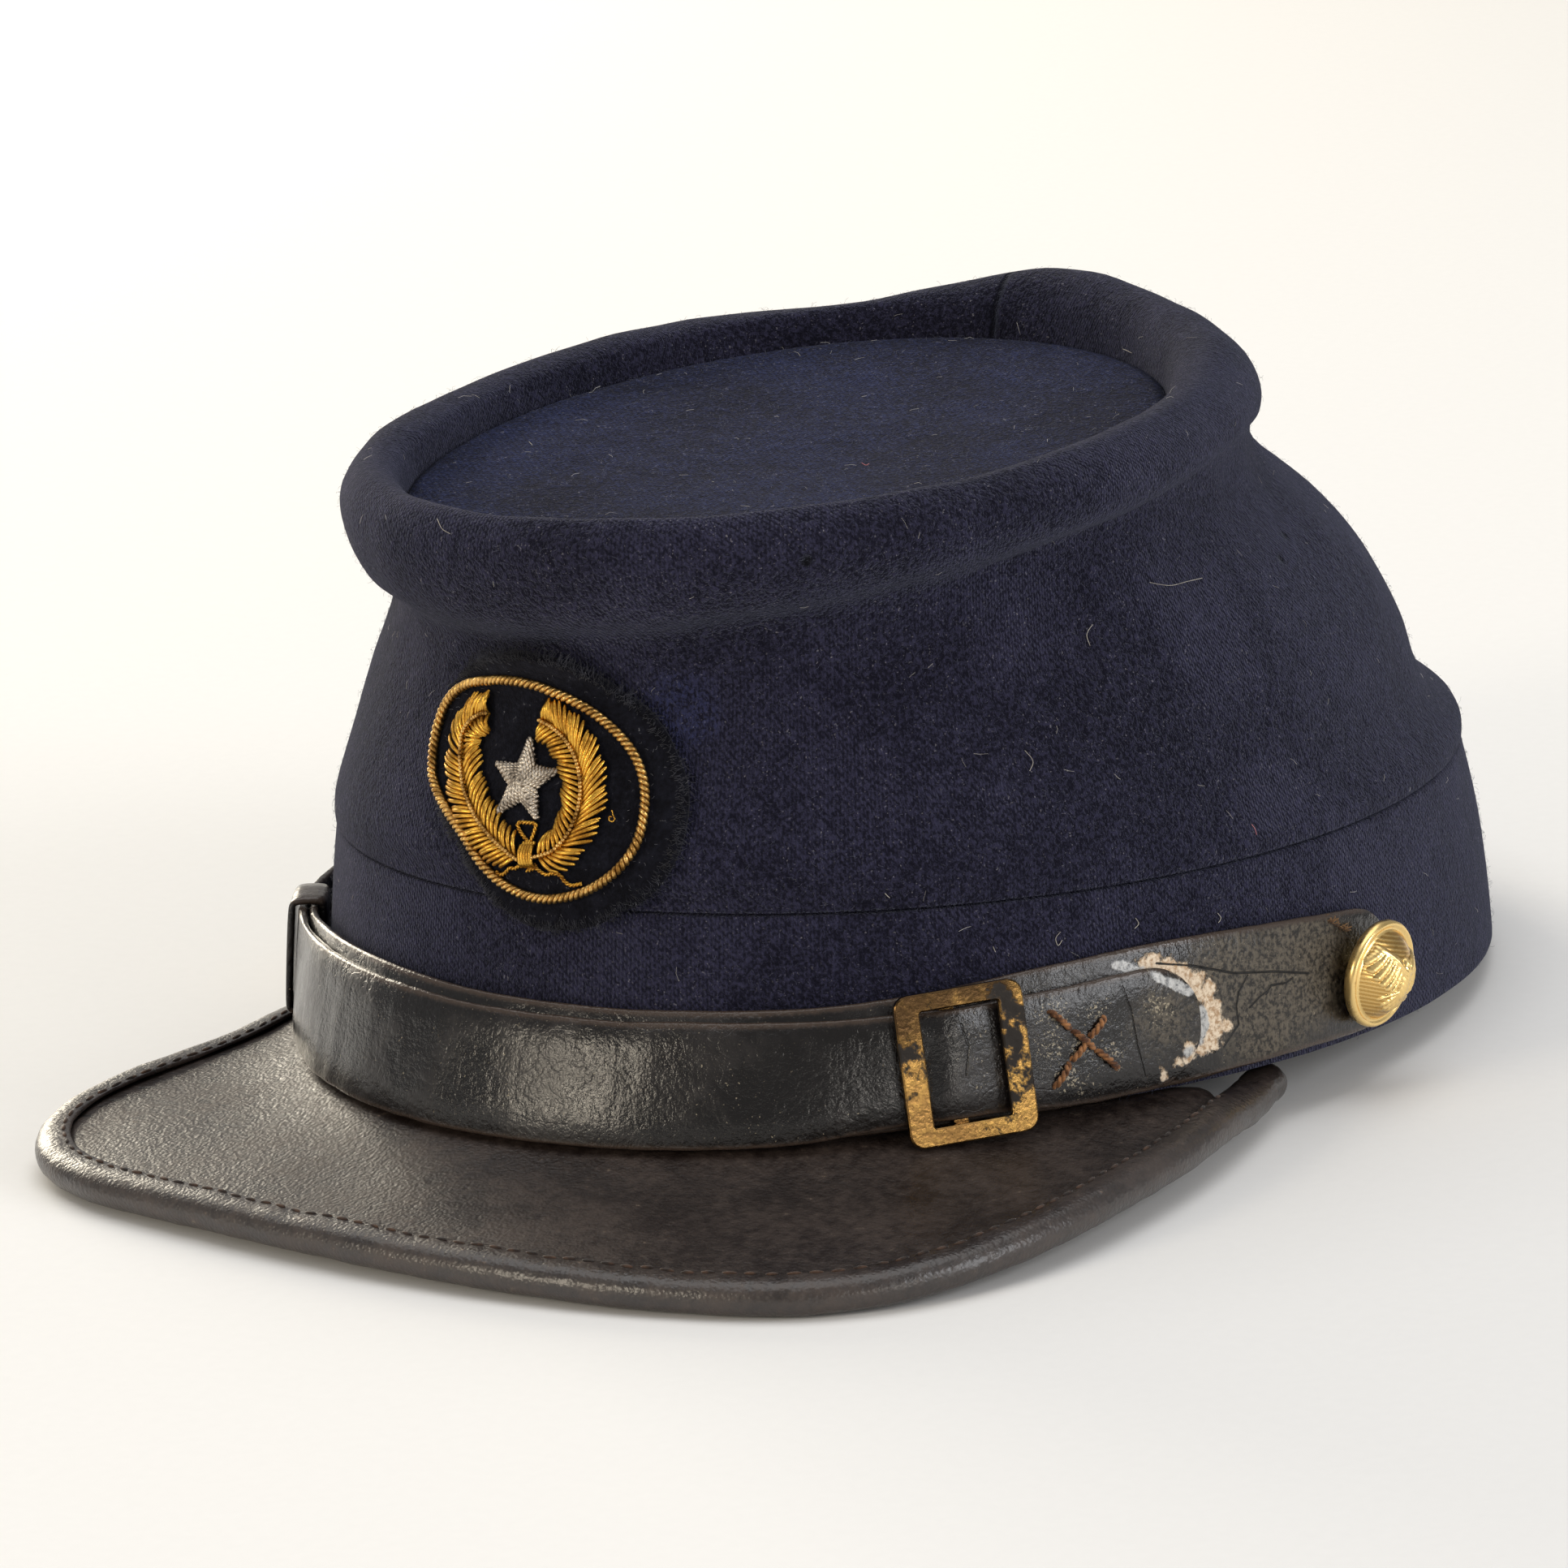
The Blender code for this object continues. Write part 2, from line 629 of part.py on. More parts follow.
def build_button(name, side, brass, rest):
    bm = bmesh.new()
    verts = [bm.verts.new((point.radius, 0, point.height)) for point in BUTTON_OUTLINE]
    for start, end in zip(verts, verts[1:]):
        bm.edges.new((start, end))
    button = add_object(name, bm, brass, rest)
    turn = button.modifiers.new("turn", "SCREW")
    turn.axis = "Z"
    turn.steps = BUTTON_STEPS
    turn.render_steps = BUTTON_STEPS
    turn.use_merge_vertices = True
    turn.merge_threshold = MERGE
    turn.use_smooth_shade = True
    place, out = button_frame(side)
    button.rotation_euler = out.to_track_quat("Z", "Y").to_euler()
    button.location = place


def rounded_rectangle(low, high, corner, steps):
    """Points of a rectangle with round corners, anticlockwise."""
    centres = ((high[0] - corner, high[1] - corner, 0), (low[0] + corner, high[1] - corner, 90),
               (low[0] + corner, low[1] + corner, 180), (high[0] - corner, low[1] + corner, 270))
    points = []
    for x, y, start in centres:
        for k in range(steps + 1):
            c, s = turned(start + 90 * k / steps)
            points.append((x + corner * c, y + corner * s))
    return points


def build_keeper(leather, rest):
    low = (KEEPER_LIFTS[0], KEEPER_HEIGHTS[0])
    high = (KEEPER_LIFTS[1], KEEPER_HEIGHTS[1])
    wall = KEEPER_LEATHER
    outer = rounded_rectangle(low, high, KEEPER_CORNER, KEEPER_CORNER_STEPS)
    inner = rounded_rectangle((low[0] + wall, low[1] + wall), (high[0] - wall, high[1] - wall),
                              KEEPER_CORNER - wall, KEEPER_CORNER_STEPS)
    start, end = KEEPER_PHI
    rings = []
    for outside, inside in zip(outer, inner):
        corners = ((start, outside), (end, outside), (end, inside), (start, inside))
        rings.append([band_face(phi, z, lift) for phi, (lift, z) in corners])
    add_object("keeper", skin(rings, length_closed=True), leather, rest)


def buckle_staple():
    """The recessed centre bar with its two feet, as one bent strip."""
    reach = BUCKLE_HEIGHT / 2 - BUCKLE_RAIL + BUCKLE_FOOT
    seat = -BUCKLE_PLATE / 4
    floor = -BUCKLE_BAR_DROP - BUCKLE_BAR_THICK / 2
    top = floor + BUCKLE_BAR_THICK
    inner = reach - BUCKLE_FOOT
    outline = ((-reach, seat), (-reach, floor), (reach, floor), (reach, seat),
               (inner, seat), (inner, top), (-inner, top), (-inner, seat))
    bm = bmesh.new()
    left = BUCKLE_BAR_OFFSET - BUCKLE_BAR_WIDTH / 2
    face = bm.faces.new([bm.verts.new((left, y, z)) for y, z in outline])
    swept = bmesh.ops.extrude_face_region(bm, geom=[face])
    moved = [item for item in swept["geom"] if isinstance(item, bmesh.types.BMVert)]
    bmesh.ops.translate(bm, verts=moved, vec=(BUCKLE_BAR_WIDTH, 0, 0))
    bmesh.ops.recalc_face_normals(bm, faces=bm.faces[:])
    return bm


def build_buckle(brass, rest):
    half = (BUCKLE_WIDTH / 2, BUCKLE_HEIGHT / 2)
    window = (half[0] - BUCKLE_SIDE_BAR, half[1] - BUCKLE_RAIL)
    data = bpy.data.curves.new("buckle", "CURVE")
    data.dimensions = "2D"
    data.fill_mode = "BOTH"
    data.extrude = BUCKLE_PLATE / 2 - BUCKLE_EDGE_ROUND
    data.bevel_depth = BUCKLE_EDGE_ROUND
    data.bevel_resolution = 0
    data.offset = -BUCKLE_EDGE_ROUND
    for (x, y), corner in ((half, BUCKLE_CORNER), (window, BUCKLE_CORNER / 5)):
        points = rounded_rectangle((-x, -y), (x, y), corner, BUCKLE_CORNER_STEPS)
        spline = data.splines.new("POLY")
        spline.points.add(len(points) - 1)
        for point, (px, py) in zip(spline.points, points):
            point.co = (px, py, 0, 1)
        spline.use_cyclic_u = True
    buckle = add_object("buckle", mesh_of_curve("buckle", data), brass, rest)
    bpy.data.curves.remove(data)
    bar_mesh = bpy.data.meshes.new("buckle_bar")
    bar = buckle_staple()
    bar.to_mesh(bar_mesh)
    bar.free()
    staple = bpy.data.objects.new("buckle_bar", bar_mesh)
    bpy.data.collections["cutters"].objects.link(staple)
    staple.hide_render = True
    staple.display_type = "WIRE"
    out = oval_normal(BAND_SECTIONS[0], BUCKLE_PHI)
    across = Vector((-out.y, out.x, 0))
    stand = Matrix((across, Vector((0, 0, 1)), out)).transposed().to_4x4()
    lean = Matrix.Rotation(math.radians(-BUCKLE_LEAN), 4, "X")
    roll = Matrix.Rotation(math.radians(BUCKLE_ROLL), 4, "Z")
    turn = (stand @ lean @ roll).to_euler()
    for piece in (buckle, staple):
        piece.parent = rest
        piece.rotation_euler = turn
        piece.location = band_face(BUCKLE_PHI, BUCKLE_Z, BUCKLE_LIFT + BUCKLE_PLATE / 2)
    join = buckle.modifiers.new("centre_bar", "BOOLEAN")
    join.operation = "UNION"
    join.object = staple


def badge_point(across, up, lift):
    """A place on the badge, laid on the cloth and lifted square off it."""
    def on_cloth(a, b):
        return cloth_point(BADGE_PHI + math.degrees(a / BADGE_TURN_RADIUS), BADGE_Z + b)
    side = on_cloth(across + NORMAL_STEP, up) - on_cloth(across - NORMAL_STEP, up)
    rise = on_cloth(across, up + NORMAL_STEP) - on_cloth(across, up - NORMAL_STEP)
    return on_cloth(across, up) + side.cross(rise).normalized() * lift


def lay_on_badge(bm):
    """Move a flat mesh, drawn across in X, up in Y and out in Z, onto the badge's place."""
    for vert in bm.verts:
        vert.co = badge_point(vert.co.x, vert.co.y, MOTIF_LIFT + vert.co.z)


def build_badge_patch(cloth, rest):
    rings = []
    for part in PATCH_RINGS:
        ring = []
        for phi in ring_angles(PATCH_STEPS):
            c, s = turned(phi)
            ring.append(badge_point(PATCH_CENTRE[0] + PATCH_HALF[0] * part * c,
                                    PATCH_CENTRE[1] + PATCH_HALF[1] * part * s, PATCH_LIFT))
        rings.append(ring)
    bm = skin(rings)
    bm.verts.ensure_lookup_table()
    bm.faces.new(bm.verts[-PATCH_STEPS:])
    add_wall(add_object("badge_patch", bm, cloth, rest), PATCH_CLOTH, outward=True)


def curve_piece(name, points, radius, cyclic, metal, rest, resolution):
    data = bpy.data.curves.new(name, "CURVE")
    data.dimensions = "3D"
    data.bevel_depth = radius
    data.bevel_resolution = resolution
    data.use_fill_caps = not cyclic
    spline = data.splines.new("POLY")
    spline.points.add(len(points) - 1)
    for point, place in zip(spline.points, points):
        point.co = (*place, 1)
    spline.use_cyclic_u = cyclic
    settle(bpy.data.objects.new(name, data), metal, rest)


def build_badge_cord(gold, rest):
    points = []
    for phi in ring_angles(CORD_POINTS):
        c, s = turned(phi)
        points.append(badge_point(CORD_HALF[0] * c, CORD_HALF[1] * s, MOTIF_LIFT + CORD_RADIUS))
    curve_piece("badge_cord", points, CORD_RADIUS, True, gold, rest, 1)


def build_wreath(name, side, gold, rest):
    """One leafy spray: a low ridge along an arc, notched between its leaves."""
    rings = []
    for i in range(SPRAY_STATIONS):
        t = i / (SPRAY_STATIONS - 1)
        c, s = turned(SPRAY_FROM + (SPRAY_TO - SPRAY_FROM) * t)
        middle = Vector((side * SPRAY_HALF[0] * c, SPRAY_RISE + SPRAY_HALF[1] * s, 0))
        out = Vector((side * c * SPRAY_HALF[1], s * SPRAY_HALF[0], 0)).normalized()
        swell = math.sin(math.pi * (0.14 + 0.76 * t))**0.6
        notch = 1 - SPRAY_NOTCH * abs(math.cos(math.pi * SPRAY_LEAVES * t))
        half = SPRAY_HALF_WIDTH * swell * notch
        ridge = ((-1.0, 0.0), (-0.85, 0.6), (0.0, 1.0), (0.85, 0.6), (1.0, 0.0))
        rings.append([middle + out * half * a + Vector((0, 0, SPRAY_HEIGHT * b))
                      for a, b in ridge])
    bm = skin(rings, capped=True)
    lay_on_badge(bm)
    add_object(name, bm, gold, rest)


def build_star(silver, rest):
    """A five-pointed star with a raised middle, in the place of the lettering."""
    bm = bmesh.new()
    bmesh.ops.create_circle(bm, cap_ends=True, segments=2 * STAR_POINTS, radius=STAR_RADIUS)
    for k, vert in enumerate(sorted(bm.verts, key=lambda v: math.atan2(v.co.y, v.co.x))):
        c, s = turned(90 + 180 * k / STAR_POINTS)
        reach = STAR_RADIUS if k % 2 == 0 else STAR_WAIST
        vert.co = (reach * c, reach * s + STAR_UP, STAR_EDGE)
    swept = bmesh.ops.extrude_face_region(bm, geom=bm.faces[:])
    floor = [item for item in swept["geom"] if isinstance(item, bmesh.types.BMVert)]
    bmesh.ops.translate(bm, verts=floor, vec=(0, 0, -STAR_EDGE))
    lid = [face for face in bm.faces if face.calc_center_median().z > STAR_EDGE * 0.9]
    middle = bmesh.ops.poke(bm, faces=lid)["verts"]
    bmesh.ops.translate(bm, verts=middle, vec=(0, 0, STAR_HEIGHT - STAR_EDGE))
    bmesh.ops.recalc_face_normals(bm, faces=bm.faces[:])
    lay_on_badge(bm)
    add_object("badge_star", bm, silver, rest)


def build_tie(gold, rest):
    """The thin ribbon that ties the sprays, its two ends waving out along the bottom."""
    points = []
    for i in range(TIE_POINTS):
        t = 2 * i / (TIE_POINTS - 1) - 1
        wave = TIE_WAVE * math.cos(3 * math.pi * t)
        points.append(badge_point(TIE_SPREAD * t, TIE_UP + wave, MOTIF_LIFT + TIE_WIRE))
    curve_piece("wreath_tie", points, TIE_WIRE, False, gold, rest, 1)


def lowest_tip(rest):
    """The pitch that lays the cap on the back of its band and the lowest edge of its peak."""
    base = BAND_SECTIONS[0]
    binding = bpy.data.objects["peak_binding"].data
    heel = base.y_centre + base.half_length
    return max(math.atan2(base.z_back - vert.co.z, heel - vert.co.y)
               for vert in binding.vertices)


def rest_on_table(rest):
    """Tip the cap onto the table and centre its box over the origin."""
    rest.rotation_euler = (-lowest_tip(rest), 0, 0)
    bpy.context.view_layer.update()
    graph = bpy.context.evaluated_depsgraph_get()
    corners = []
    for obj in bpy.data.collections[CAP_NAME].objects:
        if obj.type not in {"MESH", "CURVE"}:
            continue
        body = obj.evaluated_get(graph)
        mesh = body.to_mesh()
        corners += [body.matrix_world @ vert.co for vert in mesh.vertices]
        body.to_mesh_clear()
    low = [min(corner[axis] for corner in corners) for axis in range(3)]
    high = [max(corner[axis] for corner in corners) for axis in range(3)]
    rest.location = (-(low[0] + high[0]) / 2, -(low[1] + high[1]) / 2, -low[2])
    bpy.context.view_layer.update()


def main():
    for obj in list(bpy.data.objects):
        bpy.data.objects.remove(obj)
    for name in (CAP_NAME, "cutters"):
        bpy.context.scene.collection.children.link(bpy.data.collections.new(name))
    rest = bpy.data.objects.new("cap_at_rest", None)
    bpy.data.collections[CAP_NAME].objects.link(rest)

    wool = finish("navy_wool", (0.006, 0.008, 0.020), 0.95)
    patch_wool = finish("black_wool", (0.004, 0.004, 0.006), 0.95)
    peak_leather = finish("peak_leather", (0.020, 0.018, 0.017), 0.45)
    strap_leather = finish("strap_leather", (0.018, 0.017, 0.016), 0.30)
    old_brass = finish("worn_brass", (0.40, 0.25, 0.09), 0.40, 1.0)
    gilt = finish("gilt_brass", (0.75, 0.53, 0.20), 0.28, 1.0)
    gold_thread = finish("gold_thread", (0.62, 0.42, 0.13), 0.45, 1.0)
    silver_thread = finish("silver_thread", (0.55, 0.52, 0.47), 0.45, 1.0)

    build_band(wool, rest)
    build_crown_side(wool, rest)
    build_crown_disc(wool, rest)
    build_peak(peak_leather, rest)
    build_peak_binding(peak_leather, rest)
    long_strap = build_strap("strap_long", STRAP_LONG_ROWS, strap_leather, rest, True, True)
    punch_strap(long_strap, -1, rest)
    short_strap = build_strap("strap_short", STRAP_SHORT_ROWS, strap_leather, rest, False, True)
    punch_strap(short_strap, 1, rest)
    build_keeper(strap_leather, rest)
    build_buckle(old_brass, rest)
    build_button("button_left", 1, gilt, rest)
    build_button("button_right", -1, gilt, rest)
    build_badge_patch(patch_wool, rest)
    build_badge_cord(gold_thread, rest)
    build_wreath("wreath_left", 1, gold_thread, rest)
    build_wreath("wreath_right", -1, gold_thread, rest)
    build_tie(gold_thread, rest)
    build_star(silver_thread, rest)
    rest_on_table(rest)


main()
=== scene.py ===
"""Forage cap: wool, leather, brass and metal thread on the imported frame, laid out as a Blender add-on."""

import json
import math
import random

import bmesh
import bpy
from bpy.props import FloatProperty, FloatVectorProperty, IntProperty, PointerProperty
from mathutils import Matrix, Vector, noise
from mathutils.bvhtree import BVHTree
from mathutils.kdtree import KDTree

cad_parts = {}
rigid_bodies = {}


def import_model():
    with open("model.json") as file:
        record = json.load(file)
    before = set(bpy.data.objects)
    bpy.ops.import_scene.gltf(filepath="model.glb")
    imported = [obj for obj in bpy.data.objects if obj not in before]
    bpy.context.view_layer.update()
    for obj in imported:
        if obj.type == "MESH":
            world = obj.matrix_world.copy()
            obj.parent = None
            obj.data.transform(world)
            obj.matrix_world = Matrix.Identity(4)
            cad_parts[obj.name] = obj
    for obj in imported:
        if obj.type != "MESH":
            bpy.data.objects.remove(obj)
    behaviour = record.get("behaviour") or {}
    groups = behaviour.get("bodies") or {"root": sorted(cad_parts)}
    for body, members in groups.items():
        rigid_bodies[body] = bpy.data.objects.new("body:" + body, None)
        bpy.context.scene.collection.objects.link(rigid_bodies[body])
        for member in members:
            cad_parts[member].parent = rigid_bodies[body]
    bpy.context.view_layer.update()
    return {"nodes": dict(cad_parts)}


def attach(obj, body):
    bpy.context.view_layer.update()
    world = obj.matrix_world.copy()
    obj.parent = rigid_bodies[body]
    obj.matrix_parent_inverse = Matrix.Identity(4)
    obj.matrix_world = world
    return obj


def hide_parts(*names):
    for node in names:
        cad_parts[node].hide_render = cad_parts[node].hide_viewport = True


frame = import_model()

bl_info = {
    "name": "Forage cap",
    "version": (1, 0, 0),
    "blender": (4, 5, 0),
    "location": "3D View > Sidebar > Forage cap",
    "description": "Dresses the frame of a wool forage cap with cloth, leather, brass and metal thread",
    "category": "Object",
}

# The cap's own frame has its headband level and its front along -Y. It rests leaning back on its peak.
REST_LEAN = math.radians(3.348211)
REST_Y, REST_Z = 0.019232, 0.006577
LEAN_COS, LEAN_SIN = math.cos(REST_LEAN), math.sin(REST_LEAN)

# Camera of the photograph, in the rest frame: place, axes, and distance of the picture in its pixels
CAMERA_AT = Vector((0.605994, -0.970531, 0.349469))
CAMERA_RIGHT = Vector((0.852211, 0.519206, -0.064505))
CAMERA_UP = Vector((-0.083262, 0.256305, 0.963001))
CAMERA_BACK = Vector((0.516530, -0.815311, 0.261656))
PICTURE_SIDE = 1932
PICTURE_REACH = 10150.74

WELD = 0.000002
HEAD_RADIUS = 0.085
CROWN_MIDDLE_Y = -0.0263
CROWN_HALF = (0.0625, 0.0745)
CROWN_WIDEST = 0.0815
BACK_SEAM = math.radians(183.5)
RIM_TUCK_WIDTH, RIM_TUCK_HEIGHT = 0.0015, 0.0012
# Button: its angle round the band, the band's half length and half width there, and its height on the band
BUTTON_TURN = math.radians(82.3)
BUTTON_BAND = (0.0981, 0.0798)
BUTTON_Z = 0.0097
STRAP_METRES_A_PIXEL = 0.000128

# Outside of the crown where the badge sits: height, half width (m)
BADGE_WALL = ((0.0150, 0.0793), (0.0296, 0.0775), (0.0358, 0.0740), (0.0445, 0.0718), (0.0507, 0.0686),
              (0.0565, 0.0643), (0.0610, 0.0608), (0.0700, 0.0600))
BADGE_PHI = math.radians(-2.6)
BADGE_Z = 0.0452
BADGE_TURN = 0.074
PATCH_MIDDLE = Vector((0.0004, -0.0004))
PATCH_HALF = Vector((0.0246, 0.0190))


def to_linear(code):
    """A colour written as sRGB hex, as the linear numbers that shaders take."""
    parts = [int(code[i:i + 2], 16) / 255 for i in (1, 3, 5)]
    return tuple(p / 12.92 if p <= 0.04045 else ((p + 0.055) / 1.055) ** 2.4 for p in parts)


def rgba(colour):
    """Four linear numbers for a hex code or for three linear numbers."""
    return (*(to_linear(colour) if isinstance(colour, str) else colour), 1.0)


def colour_property(name, description, code):
    return FloatVectorProperty(name=name, description=description, subtype="COLOR", size=3, min=0, max=1,
                               default=to_linear(code))


def length_property(name, description, default, low, high):
    return FloatProperty(name=name, description=description, default=default, min=low, max=high, precision=5,
                         subtype="DISTANCE", unit="LENGTH")


class ForageCapCloth(bpy.types.PropertyGroup):
    wool: colour_property("Wool", "Deep colour of the dyed wool", "#0d0c19")
    wool_high: colour_property("Wool nap", "Colour of the raised nap", "#38374e")
    twill_pitch: length_property("Twill pitch", "Distance between two ribs of the twill", 0.00072, 0.0002, 0.003)
    nap_length: length_property("Nap length", "Length of the loose fibres that stand off the wool", 0.0011, 0, 0.005)
    nap_count: IntProperty(name="Nap fibres", description="Loose fibres on the largest piece of wool",
                           default=8500, min=0, max=9500)


class ForageCapLeather(bpy.types.PropertyGroup):
    peak: colour_property("Peak", "Blacked harness leather of the peak", "#211916")
    strap: colour_property("Strap", "Blacked leather of the chin strap", "#0f0b0a")
    bare: colour_property("Bare leather", "Leather where its black finish has flaked off", "#b08f6c")
    stitch_length: length_property("Binding stitch", "Length of a stitch of the peak's binding", 0.0021, 0.0005, 0.006)


class ForageCapMetal(bpy.types.PropertyGroup):
    gold: colour_property("Gold thread", "Gilt bullion of the wreath", "#e2b04a")
    cord: colour_property("Badge cord", "Gilt cord of the oval", "#dcb26a")
    silver: colour_property("Silver thread", "Silver bullion of the star", "#d6ccbe")
    brass: colour_property("Buckle brass", "Worn brass of the buckle", "#80623a")
    gilt: colour_property("Button gilt", "Gilt brass of the buttons", "#ffdc93")
    thread: length_property("Bullion thickness", "Diameter of one thread of the wreath", 0.00060, 0.0002, 0.001)


class ForageCapStage(bpy.types.PropertyGroup):
    floor: colour_property("Floor", "Seamless paper under the cap", "#f6f5f3")
    light: FloatProperty(name="Light", description="Strength of all the softboxes together", default=1.0, min=0,
                         max=10)


def set_inputs(node, inputs):
    """Set a node's inputs: each takes a number, some numbers, a hex colour or another node's output."""
    for name, value in inputs.items():
        socket = node.inputs[name.replace("_", " ") if isinstance(name, str) else name]
        if isinstance(value, bpy.types.NodeSocket):
            node.id_data.links.new(value, socket)
        else:
            socket.default_value = rgba(value) if isinstance(value, str) else value


def add_node(tree, kind, inputs, output=0, **settings):
    """Add one node with its settings and inputs, and give one of its outputs."""
    node = tree.nodes.new("ShaderNode" + kind)
    for name, value in settings.items():
        setattr(node, name, value)
    set_inputs(node, inputs)
    return node.outputs[output]


def new_material(name, **constants):
    """A material with its tree, its shader and the object coordinates."""
    material = bpy.data.materials.new(name)
    material.use_nodes = True
    tree = material.node_tree
    shader = tree.nodes["Principled BSDF"]
    set_inputs(shader, constants)
    return material, tree, shader, add_node(tree, "TexCoord", {}, "Object")


def finish(material, shader, bump=None, **inputs):
    """Join outputs to the shader. The bump is a height, a distance and a strength, and lies under the coat too."""
    if bump:
        raised = add_node(shader.id_data, "Bump", dict(zip(("Height", "Distance", "Strength"), bump)))
        inputs.update(Normal=raised, Coat_Normal=raised)
    set_inputs(shader, inputs)
    return material


def sum_up(*terms):
    """Total of pairs (output, weight)."""
    total = 0.0
    for output, weight in terms:
        total = add_node(output.id_data, "Math", {0: output, 1: weight, 2: total}, operation="MULTIPLY_ADD")
    return total


def fade(value, low, high, to_low=0.0, to_high=1.0):
    """Smooth step of a value, from to_low below low to to_high above high."""
    return add_node(value.id_data, "MapRange", {"Value": value, "From Min": low, "From Max": high, "To Min": to_low,
                                                "To Max": to_high}, interpolation_type="SMOOTHSTEP")


def blend_colours(share, *colours):
    """From the first colour at share 0 to the second at 1: outputs, hex codes or three linear numbers."""
    first, second = (c if isinstance(c, bpy.types.NodeSocket) else rgba(c) for c in colours)
    return add_node(share.id_data, "Mix", {0: share, 6: first, 7: second}, 2, data_type="RGBA")


def near_spots(place, spots):
    """How far a place is outside the nearest of some balls (middle, radius), in metres."""
    tree, nearest = place.id_data, 1.0
    for middle, radius in spots:
        away = add_node(tree, "VectorMath", {0: place, 1: middle}, "Value", operation="DISTANCE")
        away = add_node(tree, "Math", {0: away, 1: radius}, operation="SUBTRACT")
        nearest = add_node(tree, "Math", {0: away, 1: nearest}, operation="MINIMUM")
    return nearest


def near_lines(place, lines):
    """How far a place is from the nearest of some broken lines, in metres."""
    tree, nearest = place.id_data, 1.0
    for a, b in (pair for line in lines for pair in zip(line, line[1:])):
        along = b - a
        off = add_node(tree, "VectorMath", {0: place, 1: a}, operation="SUBTRACT")
        share = add_node(tree, "VectorMath", {0: off, 1: along / along.length_squared}, "Value",
                         operation="DOT_PRODUCT")
        share = add_node(tree, "Math", {0: share, 1: 0.0}, operation="ADD", use_clamp=True)
        foot = add_node(tree, "VectorMath", {0: share, 1: along, 2: a}, operation="MULTIPLY_ADD")
        away = add_node(tree, "VectorMath", {0: place, 1: foot}, "Value", operation="DISTANCE")
        nearest = add_node(tree, "Math", {0: away, 1: nearest}, operation="MINIMUM")
    return nearest


